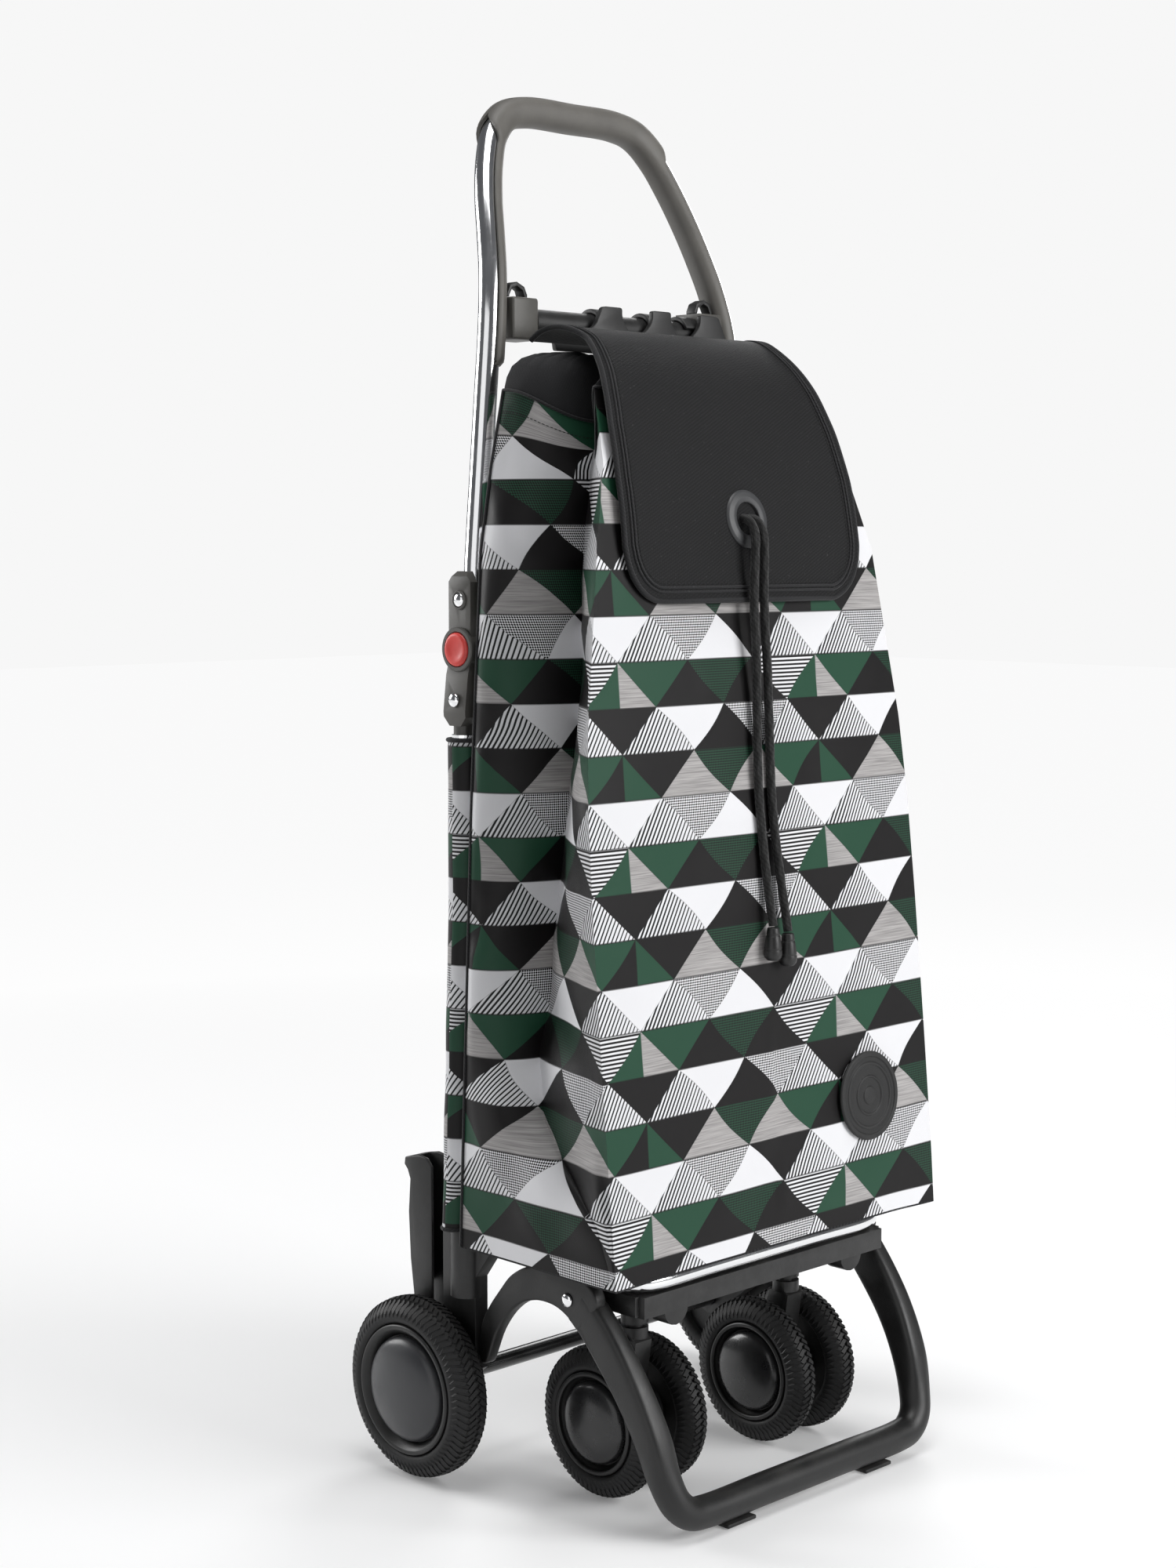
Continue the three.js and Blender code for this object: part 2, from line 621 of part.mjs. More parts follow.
// ---- drawstring: two strands that leave the mouth of the bag through the eyelet and hang free ----
const strands = [
  {
    name: "left",
    points: [
      [-4, -170.6, 760], [-4, -176, 760.6], [-4.2, -183, 759.5], [-4.6, -188.6, 755], [-5, -191.6, 747],
      [-5.6, -192.2, 734], [-6, -191.8, 716], [-6, -191.6, 696], [-5, -192.2, 672], [-4, -193, 645],
      [-4.5, -194, 615], [-6, -196, 585], [-7.5, -198.6, 555], [-7.5, -201.6, 525],
      [-6.5, -205, 495], [-5.5, -209, 466], [-5, -212.5, 446],
    ],
    end: [-5, -212.5, 446],
  },
  {
    name: "right",
    points: [
      [4, -170.6, 760], [4, -176, 760.6], [4.1, -183, 759.6], [4.2, -188.8, 755], [4.4, -191.8, 747],
      [4.8, -192.4, 734], [5.2, -192, 716], [5.6, -191.8, 696], [6.5, -192.4, 672], [8, -193.4, 645],
      [8.6, -194.4, 615], [8, -196.4, 585], [7, -198.8, 555], [7.2, -201.8, 525],
      [8.6, -205.4, 495], [10.6, -209.6, 464], [11.6, -213.4, 440],
    ],
    end: [11.6, -213.4, 440],
  },
];
for (const { name, points, end } of strands) {
  const path = new SweepPath(vectors(points), new THREE.Vector3(1, 0, 0));
  addPiece(`cord_${name}`, sweep(circleShape(cordRadius, 6), path, 26), finishes.cord);
  const [x, y, z] = end;
  const cone = new THREE.LatheGeometry(
    [[0, -27], [5, -26.5], [7, -23], [7.2, -19], [5.4, -6], [4.4, -1.2], [0, -1.2]].map(
      ([r, h]) => new THREE.Vector2(r, h),
    ),
    16,
  ).rotateX(Math.PI / 2);
  addPiece(`cord_end_${name}`, cone.translate(x, y, z), finishes.blackPlastic);
}

export default trolley;
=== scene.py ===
import bpy
import bmesh
import math
import numpy as np
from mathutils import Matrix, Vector, noise


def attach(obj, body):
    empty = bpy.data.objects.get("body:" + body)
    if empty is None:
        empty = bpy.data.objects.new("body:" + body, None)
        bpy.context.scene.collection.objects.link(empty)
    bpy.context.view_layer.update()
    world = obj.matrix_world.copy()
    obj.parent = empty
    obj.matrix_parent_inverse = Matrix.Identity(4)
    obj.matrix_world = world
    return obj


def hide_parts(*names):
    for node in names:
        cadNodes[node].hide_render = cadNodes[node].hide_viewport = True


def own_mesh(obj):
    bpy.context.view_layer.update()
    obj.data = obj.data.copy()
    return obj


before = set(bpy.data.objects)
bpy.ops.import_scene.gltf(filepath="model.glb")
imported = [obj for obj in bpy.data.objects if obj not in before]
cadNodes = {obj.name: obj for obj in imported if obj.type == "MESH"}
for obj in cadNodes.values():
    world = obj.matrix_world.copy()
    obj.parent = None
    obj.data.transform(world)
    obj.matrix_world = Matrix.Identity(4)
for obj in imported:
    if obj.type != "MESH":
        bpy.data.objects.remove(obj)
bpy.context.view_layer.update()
sides = (("left", -1), ("right", 1))
print("frame loaded:", len(cadNodes), "nodes")


axleY = 92  # millimetres from the middle of the frame back to the rear axle


def fromAxle(points):
    # points in millimetres, with y counted from the rear axle and z from the floor
    return [(x / 1000, (y + axleY) / 1000, z / 1000) for x, y, z in points]


def ease(value, low, high):
    t = min(1.0, max(0.0, (value - low) / (high - low)))
    return t * t * (3 - 2 * t)


def fromTable(value, table):
    return float(np.interp(value, [a for a, _ in table], [b for _, b in table]))


def addObject(name, data):
    obj = bpy.data.objects.new(name, data)
    bpy.context.scene.collection.objects.link(obj)
    return obj


# the camera comes before every piece
cameraSettings = {
    "place": (-1.4836, -1.4105, 0.7391),
    "yaw": 44.7,
    "pitch": 5.33,
    "lens": 58.5,
}


def addCamera(settings):
    yaw, pitch = math.radians(settings["yaw"]), math.radians(settings["pitch"])
    ahead = Vector((math.sin(yaw) * math.cos(pitch), math.cos(yaw) * math.cos(pitch), -math.sin(pitch)))
    data = bpy.data.cameras.new("camera")
    data.lens = settings["lens"]
    data.sensor_width = 36
    data.clip_start = 0.05
    data.clip_end = 100
    camera = addObject("camera", data)
    camera.location = settings["place"]
    camera.rotation_mode = "QUATERNION"
    camera.rotation_quaternion = ahead.to_track_quat("-Z", "Y")
    bpy.context.scene.camera = camera


addCamera(cameraSettings)

# mesh helpers


def makeObject(name, vertices, faces, uvs=None, smoothAngle=40):
    mesh = bpy.data.meshes.new(name)
    mesh.from_pydata([tuple(v) for v in vertices], [], [tuple(f) for f in faces])
    if uvs is not None:
        layer = mesh.uv_layers.new(name="UVMap")
        flat = np.array([c for face in uvs for c in face], np.float32).ravel()
        layer.data.foreach_set("uv", flat)
    mesh.update()
    obj = addObject(name, mesh)
    smoothBy(obj, smoothAngle)
    return obj


def smoothBy(obj, angle):
    obj.data.shade_smooth()
    if angle < 180:
        obj.data.set_sharp_from_angle(angle=math.radians(angle))


def bake(obj, smoothAngle=None):
    # turns the evaluated object into a plain mesh and drops its modifiers
    graph = bpy.context.evaluated_depsgraph_get()
    mesh = bpy.data.meshes.new_from_object(obj.evaluated_get(graph))
    obj.modifiers.clear()
    old = obj.data
    obj.data = mesh
    if old.users == 0:
        bpy.data.meshes.remove(old)
    mesh.name = obj.name
    if smoothAngle is not None:
        smoothBy(obj, smoothAngle)
    return obj


def withWall(obj, thickness, offset=0):
    # gives an open sheet its thickness
    skin = obj.modifiers.new("skin", "SOLIDIFY")
    skin.thickness = thickness
    skin.offset = offset
    return obj


def joinObjects(name, objects):
    # keeps the materials and UV maps of each
    target = objects[0]
    with bpy.context.temp_override(
        active_object=target, selected_editable_objects=objects, object=target
    ):
        bpy.ops.object.join()
    target.name = name
    target.data.name = name
    return target


def curvePoints(points, count):
    # a centripetal curve through the points, as evenly spaced points
    p = np.array(points, float)
    p = np.vstack([2 * p[0] - p[1], p, 2 * p[-1] - p[-2]])
    fine = []
    for i in range(1, len(p) - 2):
        p0, p1, p2, p3 = p[i - 1], p[i], p[i + 1], p[i + 2]
        d0, d1, d2 = (max(np.linalg.norm(b - a) ** 0.5, 1e-5) for a, b in ((p0, p1), (p1, p2), (p2, p3)))
        m1 = ((p1 - p0) / d0 - (p2 - p0) / (d0 + d1) + (p2 - p1) / d1) * d1
        m2 = ((p2 - p1) / d1 - (p3 - p1) / (d1 + d2) + (p3 - p2) / d2) * d1
        for t in np.linspace(0, 1, 40, endpoint=False):
            a, b = 2 * t**3 - 3 * t**2 + 1, t**3 - 2 * t**2 + t
            fine.append(a * p1 + b * m1 + (3 * t**2 - 2 * t**3) * p2 + (t**3 - t**2) * m2)
    fine.append(p[-2])
    fine = np.array(fine)
    along = lengthsAlong(fine)
    at = np.linspace(0, along[-1], count)
    return np.stack([np.interp(at, along, fine[:, k]) for k in range(p.shape[1])], 1)


def pathFrames(path, fixed):
    tangents = np.gradient(path, axis=0)
    tangents /= np.linalg.norm(tangents, axis=1)[:, None]
    normals = np.cross(np.array(fixed, float), tangents)
    normals /= np.linalg.norm(normals, axis=1)[:, None]
    return tangents, normals, np.cross(tangents, normals)


def ringFace(i, k, count):
    # the face between point k of ring i and the next point of the next ring
    n = (k + 1) % count
    return (i * count + k, i * count + n, (i + 1) * count + n, (i + 1) * count + k)


def lengthsAlong(points):
    return np.concatenate([[0], np.cumsum(np.linalg.norm(np.diff(points, axis=0), axis=1))])


def sweep(name, path, sectionAt, fixed, smoothAngle=40):
    # sectionAt(i, share) gives the section's (outwards, sideways) points at each station
    path = np.array(path, float)
    _, normals, others = pathFrames(path, fixed)
    along = lengthsAlong(path)
    vertices, rings = [], []
    for i, centre in enumerate(path):
        section = sectionAt(i, i / (len(path) - 1))
        rings.append(section)
        vertices += [centre + x * normals[i] + y * others[i] for x, y in section]
    count = len(rings[0])
    edge = np.array(rings[len(rings) // 2])
    around = np.concatenate([[0], np.cumsum(np.linalg.norm(np.roll(edge, -1, 0) - edge, axis=1))])
    faces, uvs = [], []
    for i in range(len(path) - 1):
        for k in range(count):
            faces.append(ringFace(i, k, count))
            uvs.append(((around[k], along[i]), (around[k + 1], along[i]),
                        (around[k + 1], along[i + 1]), (around[k], along[i + 1])))
    last = (len(path) - 1) * count
    for end in (range(count - 1, -1, -1), range(last, last + count)):
        faces.append(tuple(end))
        uvs.append(tuple((0.0, 0.0) for _ in range(count)))
    return outwards(makeObject(name, vertices, faces, uvs, smoothAngle))


def outwards(obj, angle=None):
    # closes doubled points and turns every face outwards
    mesh = bmesh.new()
    mesh.from_mesh(obj.data)
    bmesh.ops.remove_doubles(mesh, verts=mesh.verts, dist=1e-6)
    bmesh.ops.recalc_face_normals(mesh, faces=mesh.faces)
    mesh.to_mesh(obj.data)
    mesh.free()
    if angle is not None:
        smoothBy(obj, angle)
    return obj


def circle(radius, count):
    angles = [2 * math.pi * k / count for k in range(count)]
    return [(radius * math.cos(a), radius * math.sin(a)) for a in angles]


def turned(name, profile, steps, centre, axis="X", flip=1, smoothAngle=35):
    # profile: (radius, along) points from pole to pole, or a closed ring when it never touches the axis
    vertices, faces, uvs = [], [], []
    count = len(profile)
    open_ = profile[0][0] > 1e-9 and profile[-1][0] > 1e-9
    for i in range(steps):
        a = 2 * math.pi * i / steps
        c, s = math.cos(a), math.sin(a)
        for r, h in profile:
            h *= flip
            if axis == "X":
                v = (h, r * c, r * s)
            elif axis == "Y":
                v = (r * c, h, r * s)
            else:
                v = (r * c, r * s, h)
            vertices.append(tuple(centre[j] + v[j] for j in range(3)))
    along = [0.0]
    for (r0, h0), (r1, h1) in zip(profile, profile[1:]):
        along.append(along[-1] + math.hypot(r1 - r0, h1 - h0))
    widest = max(r for r, _ in profile)
    for i in range(steps):
        n = (i + 1) % steps
        u0, u1 = 2 * math.pi * widest * i / steps, 2 * math.pi * widest * (i + 1) / steps
        for k in range(count if open_ else count - 1):
            m = (k + 1) % count
            faces.append((i * count + k, i * count + m, n * count + m, n * count + k))
            top = along[k + 1] if k + 1 < count else along[k]
            uvs.append(((u0, along[k]), (u0, top), (u1, top), (u1, along[k])))
    return outwards(makeObject(name, vertices, faces, uvs, smoothAngle), smoothAngle)


def roundedProfile(points, radius, steps=4, closed=True):
    # rounds each corner of an outline; radius is one number or one for each point
    out = []
    count = len(points)
    for i, p in enumerate(points):
        r = radius[i] if hasattr(radius, "__len__") else radius
        if not closed and i in (0, count - 1):
            out.append(tuple(p))
            continue
        a, b = np.array(points[i - 1], float), np.array(points[(i + 1) % count], float)
        p = np.array(p, float)
        da, db = np.linalg.norm(a - p), np.linalg.norm(b - p)
        cut = min(r, 0.45 * da, 0.45 * db)
        if cut < 1e-7:
            out.append(tuple(p))
            continue
        start, end = p + (a - p) / da * cut, p + (b - p) / db * cut
        for t in np.linspace(0, 1, steps + 1):
            out.append(tuple((1 - t) ** 2 * start + 2 * t * (1 - t) * p + t * t * end))
    return out


def plate(name, outline, low, high, axis, bevel, smoothAngle=35):
    # an outline extruded along X, from (y, z) points, or along Y, from (x, z) points, with rounded edges
    mesh = bmesh.new()

    def place(p, h):
        return (h, p[0], p[1]) if axis == "X" else (p[0], h, p[1])

    bottom = [mesh.verts.new(place(p, low)) for p in outline]
    top = [mesh.verts.new(place(p, high)) for p in outline]
    mesh.faces.new(bottom)
    mesh.faces.new(top[::-1])
    for i in range(len(outline)):
        j = (i + 1) % len(outline)
        mesh.faces.new((bottom[i], top[i], top[j], bottom[j]))
    bmesh.ops.recalc_face_normals(mesh, faces=mesh.faces)
    data = bpy.data.meshes.new(name)
    mesh.to_mesh(data)
    mesh.free()
    return rounded(addObject(name, data), bevel, smoothAngle)


def rounded(obj, bevel, smoothAngle=35, segments=3, limit=32):
    if bevel > 0:
        edge = obj.modifiers.new("edge", "BEVEL")
        edge.width = bevel
        edge.segments = segments
        edge.limit_method = "ANGLE"
        edge.angle_limit = math.radians(limit)
        edge.use_clamp_overlap = True
        bake(obj)
    smoothBy(obj, smoothAngle)
    return obj


def cadCopy(name, node, bevel, segments):
    # a finer piece made from a CAD node's own shape: merged, freed of its loose triangles and edge-rounded
    data = cadNodes[node].data.copy()
    data.name = name
    mesh = bmesh.new()
    mesh.from_mesh(data)
    bmesh.ops.remove_doubles(mesh, verts=mesh.verts, dist=2e-6)
    bmesh.ops.dissolve_limit(mesh, angle_limit=math.radians(1.5), verts=mesh.verts, edges=mesh.edges)
    mesh.to_mesh(data)
    mesh.free()
    data.materials.clear()
    return rounded(addObject(name, data), bevel, 35, segments, 30)


def dress(obj, material, body, slot, *replaced):
    # material, body, record slot (not used) and the CAD nodes a piece stands for
    if material is not None:
        obj.data.materials.clear()
        obj.data.materials.append(material)
    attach(obj, body)
    if replaced:
        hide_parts(*replaced)
    return obj


# node helpers


class Graph:
    # short calls for building a shader or geometry tree
    def __init__(self, tree):
        self.tree = tree

    def node(self, kind, **settings):
        made = self.tree.nodes.new(kind)
        for key, value in settings.items():
            setattr(made, key, value)
        return made

    def link(self, source, target):
        self.tree.links.new(source, target)

    def feed(self, target, value):
        if isinstance(value, bpy.types.NodeSocket):
            self.link(value, target)
        else:
            target.default_value = value

    def math(self, operation, a, b=None, clamp=False):
        made = self.node("ShaderNodeMath", operation=operation, use_clamp=clamp)
        for socket, value in zip(made.inputs, (a, b)):
            if value is not None:
                self.feed(socket, value)
        return made.outputs[0]

    def times(self, a, b, clamp=False):
        return self.math("MULTIPLY", a, b, clamp=clamp)

    def plus(self, a, b, clamp=False):
        return self.math("ADD", a, b, clamp=clamp)

    def minus(self, a, b):
        return self.math("SUBTRACT", a, b)

    def mix(self, share, a, b):
        made = self.node("ShaderNodeMix", data_type="RGBA", blend_type="MIX")
        self.feed(made.inputs["Factor"], share)
        self.feed(made.inputs["A"], a)
        self.feed(made.inputs["B"], b)
        return made.outputs["Result"]

    def steps(self, value, stops):
        # one colour for each stop, without a blend between them
        made = self.node("ShaderNodeValToRGB")
        made.color_ramp.interpolation = "CONSTANT"
        elements = made.color_ramp.elements
        while len(elements) < len(stops):
            elements.new(1.0)
        for element, (place, color) in zip(elements, stops):
            element.position = place
            element.color = color
        self.feed(made.inputs[0], value)
        return made.outputs[0]

    def spread(self, value, low, high, toLow=0.0, toHigh=1.0):
        made = self.node("ShaderNodeMapRange")
        for socket, v in zip(made.inputs, (value, low, high, toLow, toHigh)):
            self.feed(socket, v)
        return made.outputs[0]

    def noise(self, vector, scale, detail=2.0, roughness=0.5):
        made = self.node("ShaderNodeTexNoise")
        self.feed(made.inputs["Vector"], vector)
        self.feed(made.inputs["Scale"], scale)
        made.inputs["Detail"].default_value = detail
        made.inputs["Roughness"].default_value = roughness
        return made.outputs[0]

    def scaled(self, vector, size):
        made = self.node("ShaderNodeVectorMath", operation="MULTIPLY")
        self.feed(made.inputs[0], vector)
        made.inputs[1].default_value = size
        return made.outputs[0]

    def group(self, tree, **inputs):
        made = self.node("ShaderNodeGroup")
        made.node_tree = tree
        for key, value in inputs.items():
            self.feed(made.inputs[key], value)
        return made


def newGroup(name, inputs, outputs):
    tree = bpy.data.node_groups.new(name, "ShaderNodeTree")
    for label, kind, default in inputs:
        socket = tree.interface.new_socket(label, in_out="INPUT", socket_type="NodeSocket" + kind)
        if default is not None:
            socket.default_value = default
    for label, kind in outputs:
        tree.interface.new_socket(label, in_out="OUTPUT", socket_type="NodeSocket" + kind)
    graph = Graph(tree)
    return tree, graph, graph.node("NodeGroupInput"), graph.node("NodeGroupOutput")


# shared surface effects


def makeGrainGroup():
    # fine moulded grain with a slower mottle under it
    tree, g, given, result = newGroup(
        "moulded grain",
        [("Vector", "Vector", None), ("Grain Size", "Float", 0.0006)],
        [("Height", "Float"), ("Mottle", "Float")],
    )
    scale = g.math("DIVIDE", 1.0, given.outputs["Grain Size"])
    cells = g.node("ShaderNodeTexVoronoi", feature="SMOOTH_F1")
    g.feed(cells.inputs["Vector"], given.outputs["Vector"])
    g.feed(cells.inputs["Scale"], scale)
    fine = g.noise(given.outputs["Vector"], scale, 3, 0.6)
    height = g.plus(g.times(cells.outputs["Distance"], 0.6), g.times(fine, 0.5))
    g.link(height, result.inputs["Height"])
    g.link(g.noise(given.outputs["Vector"], 38.0, 4, 0.6), result.inputs["Mottle"])
    return tree


def makeWearGroup():
    # rubbed edges, handling marks and dust lying on what faces up
    tree, g, given, result = newGroup(
        "wear and dust",
        [("Vector", "Vector", None), ("Edge", "Float", 0.5), ("Dust", "Float", 0.3),
         ("Scuff", "Float", 0.3)],
        [("Edge Mask", "Float"), ("Dust Mask", "Float"), ("Scuff Mask", "Float")],
    )
    geometry = g.node("ShaderNodeNewGeometry")
    vector = given.outputs["Vector"]
    edge = g.spread(geometry.outputs["Pointiness"], 0.51, 0.58)
    patchy = g.spread(g.noise(vector, 60.0, 5, 0.65), 0.4, 0.65, 0.15, 1.0)
    g.link(
        g.times(g.times(edge, patchy), given.outputs["Edge"], clamp=True),
        result.inputs["Edge Mask"],
    )
    split = g.node("ShaderNodeSeparateXYZ")
    g.link(geometry.outputs["Normal"], split.inputs[0])
    up = g.spread(split.outputs["Z"], 0.2, 1.0)
    cloud = g.spread(g.noise(vector, 26.0, 6, 0.7), 0.42, 0.72)
    speck = g.spread(g.noise(vector, 900.0, 2, 0.5), 0.6, 0.75, 0.0, 0.6)
    dust = g.times(up, g.plus(g.times(cloud, 0.8), speck))
    g.link(g.times(dust, given.outputs["Dust"], clamp=True), result.inputs["Dust Mask"])
    thin = g.noise(g.scaled(vector, (1.0, 6.0, 1.0)), 190.0, 3, 0.55)
    scratch = g.spread(thin, 0.62, 0.68)
    g.link(g.times(scratch, given.outputs["Scuff"], clamp=True), result.inputs["Scuff Mask"])
    return tree


def makeWeaveGroup():
    # over-and-under threads on a map in metres; Slant turns a plain weave into a twill
    tree, g, given, result = newGroup(
        "woven threads",
        [("Vector", "Vector", None), ("Thread", "Float", 0.0005), ("Slant", "Float", 0.0)],
        [("Height", "Float"), ("Line", "Float")],
    )
    split = g.node("ShaderNodeSeparateXYZ")
    g.link(given.outputs["Vector"], split.inputs[0])
    u = g.math("DIVIDE", split.outputs["X"], given.outputs["Thread"])
    v = g.math("DIVIDE", split.outputs["Y"], given.outputs["Thread"])
    warp = g.math("ABSOLUTE", g.math("SINE", g.times(u, math.pi)))
    weft = g.math("ABSOLUTE", g.math("SINE", g.times(v, math.pi)))
    lean = g.plus(u, g.times(v, g.plus(1.0, given.outputs["Slant"])))
    over = g.math("SINE", g.times(lean, math.pi * 0.5))
    share = g.spread(over, -0.35, 0.35)
    height = g.plus(g.times(warp, share), g.times(weft, g.minus(1.0, share)))
    g.link(height, result.inputs["Height"])
    g.link(share, result.inputs["Line"])
    return tree


grainGroup = makeGrainGroup()
wearGroup = makeWearGroup()
weaveGroup = makeWeaveGroup()

printSettings = {
    "base": 0.074,  # width of one triangle
    "rowHeight": 0.034,
    "offset": (0.147, 0.6875),  # where the first row's top and first point lie
    "white": (0.84, 0.84, 0.86, 1),
    "black": (0.0050, 0.0042, 0.0046, 1),
    "green": (0.0150, 0.066, 0.036, 1),
    "grey": (0.40, 0.385, 0.38, 1),
    "stripe": 0.0041,
    "check": 0.0027,
    # each row: the three triangles that point down, then the three that point up
    "rows": ("W c K S W S", "G g H K K l", "K W c S K S", "K g G A A r"),
}


def makePrintGroup(settings):
    # rows of triangles in four colours, some filled with stripes, checks or brushed lines
    tree, g, given, result = newGroup(
        "printed triangles", [("Vector", "Vector", None)],
        [("Color", "Color"), ("Height", "Float"), ("Ink", "Float")],
    )
    white, black, green, grey = (settings[k] for k in ("white", "black", "green", "grey"))
    fills = {
        # letter: first ink, second ink, (stripes, checks, level lines)
        # stripes and checks together split the triangle in two halves
        "W": (white, white, (0, 0, 0)),
        "K": (black, black, (0, 0, 0)),
        "G": (green, green, (0, 0, 0)),
        "A": (grey, grey, (0, 0, 0)),
        "S": (white, black, (1, 0, 0)),
        "c": (white, black, (0, 1, 0)),
        "g": (green, black, (0, 1, 0)),
        "H": (white, black, (0, 0, 1)),
        "l": (green, grey, (1, 1, 0)),
        "r": (black, green, (1, 1, 0)),
    }
    letters = [letter for row in settings["rows"] for letter in row.split()]
    split = g.node("ShaderNodeSeparateXYZ")
    g.link(given.outputs["Vector"], split.inputs[0])
    # threads never run quite straight
    drift = g.times(g.minus(g.noise(given.outputs["Vector"], 5.0, 1, 0.5), 0.5), 0.010)
    u = g.plus(g.plus(split.outputs["X"], settings["offset"][0]), drift)
    v = g.minus(settings["offset"][1], split.outputs["Y"])
    t = g.math("DIVIDE", v, settings["rowHeight"])
    row = g.math("FLOOR", t)
    down = g.math("FRACT", t)
    rowOfFour = g.math("FLOORED_MODULO", row, 4.0)
    odd = g.math("FLOORED_MODULO", row, 2.0)
    s = g.minus(g.math("DIVIDE", u, settings["base"]), g.times(odd, 0.5))
    nearest = g.math("FLOOR", g.plus(s, 0.5))
    off = g.minus(s, nearest)
    # a slow bend in some of the edges
    seed = g.plus(g.times(nearest, 7.31), g.times(rowOfFour, 3.17))
    bend = g.times(g.math("SINE", seed), g.math("SINE", g.times(down, math.pi)))
    leftOrRight = g.math("SIGN", off)
    bend = g.times(g.times(bend, leftOrRight), 0.05)
    half = g.plus(g.times(g.minus(1.0, down), 0.5), bend)
    isDown = g.math("LESS_THAN", g.math("ABSOLUTE", off), half)
    isUp = g.minus(1.0, isDown)
    column = g.plus(g.times(nearest, isDown), g.times(g.math("FLOOR", s), isUp))
    column = g.math("FLOORED_MODULO", column, 3.0)
    code = g.plus(g.times(rowOfFour, 6.0), g.plus(column, g.times(isUp, 3.0)))
    place = g.math("DIVIDE", g.plus(code, 0.5), 24.0)
    inkA = g.steps(place, [(i / 24, fills[c][0]) for i, c in enumerate(letters)])
    inkB = g.steps(place, [(i / 24, fills[c][1]) for i, c in enumerate(letters)])
    kind = g.steps(place, [(i / 24, (*fills[c][2], 1)) for i, c in enumerate(letters)])
    kinds = g.node("ShaderNodeSeparateColor")
    g.link(kind, kinds.inputs[0])
    stripes, checks, lines = kinds.outputs[0], kinds.outputs[1], kinds.outputs[2]
    halves = g.times(stripes, checks)

    def wave(value, period, bias=0.0):
        w = g.math("SINE", g.times(value, 2 * math.pi / period))
        return g.spread(w, bias - 0.18, bias + 0.18)

    lean = g.plus(u, g.times(v, 0.62))
    upOff = g.minus(g.math("FRACT", s), 0.5)
    across = g.plus(g.times(off, isDown), g.times(upOff, isUp))
    stripeShare = g.spread(across, -0.5, 0.5, -0.15, 0.65)
    stripeWave = g.math("SINE", g.times(lean, 2 * math.pi / settings["stripe"]))
    stripeMask = g.spread(g.minus(stripeWave, stripeShare), -0.22, 0.22)
    lineMask = wave(v, 0.0031)
    dots = g.times(g.math("SINE", g.times(g.plus(u, v), 2 * math.pi / (settings["check"] * 1.414))),
                  g.math("SINE", g.times(g.minus(u, v), 2 * math.pi / (settings["check"] * 1.414))))
    checkMask = g.spread(dots, -0.12, 0.12)
    halfMask = g.spread(upOff, -0.006, 0.006)
    onlyStripes = g.times(stripes, g.minus(1.0, checks))
    onlyChecks = g.times(checks, g.minus(1.0, stripes))
    mask = g.plus(g.times(onlyStripes, stripeMask), g.times(onlyChecks, checkMask))
    mask = g.plus(mask, g.times(lines, lineMask))
    mask = g.plus(mask, g.times(halves, halfMask), clamp=True)
    color = g.mix(mask, inkA, inkB)
    # grey ink is brushed with short level lines
    brushed = g.noise(g.scaled(given.outputs["Vector"], (22.0, 900.0, 1.0)), 1.0, 2, 0.6)
    levels = g.node("ShaderNodeRGBToBW")
    g.link(color, levels.inputs[0])
    isGrey = g.spread(g.math("ABSOLUTE", g.minus(levels.outputs[0], 0.387)), 0.03, 0.06, 1.0, 0.0)
    shade = g.spread(brushed, 0.35, 0.65, 0.72, 1.22)
    faded = g.plus(g.times(isGrey, g.minus(shade, 1.0)), 1.0)
    toned = g.node("ShaderNodeVectorMath", operation="SCALE")
    g.link(color, toned.inputs[0])
    g.link(faded, toned.inputs["Scale"])
    # a thin dark outline along each row and each slanted edge
    rowEdge = g.math("ABSOLUTE", g.minus(down, g.math("ROUND", down)))
    slantEdge = g.math("ABSOLUTE", g.minus(g.math("ABSOLUTE", off), half))
    rowLine = g.spread(rowEdge, 0.010, 0.026, 0.75, 0.0)
    slantLine = g.spread(slantEdge, 0.003, 0.009, 0.30, 0.0)
    outline = g.math("MAXIMUM", rowLine, slantLine)
    g.link(g.mix(outline, toned.outputs[0], black), result.inputs["Color"])
    g.link(mask, result.inputs["Height"])
    g.link(levels.outputs[0], result.inputs["Ink"])
    return tree


printGroup = makePrintGroup(printSettings)


def newMaterial(name, settings):
    material = bpy.data.materials.new(name)
    material.use_nodes = True
    g = Graph(material.node_tree)
    surface = next(n for n in material.node_tree.nodes if n.type == "BSDF_PRINCIPLED")
    for key, value in settings.items():
        surface.inputs[key].default_value = value
    material.diffuse_color = settings.get("Base Color", (0.5, 0.5, 0.5, 1))
    place = g.node("ShaderNodeTexCoord")
    return material, g, surface, place


def bumpInto(g, surface, height, strength, distance):
    bump = g.node("ShaderNodeBump")
    bump.inputs["Strength"].default_value = strength
    bump.inputs["Distance"].default_value = distance
    g.link(height, bump.inputs["Height"])
    g.link(bump.outputs["Normal"], surface.inputs["Normal"])


def brighter(color, factor, extra=0.0):
    return tuple(c * factor + extra for c in color[:3]) + (1,)


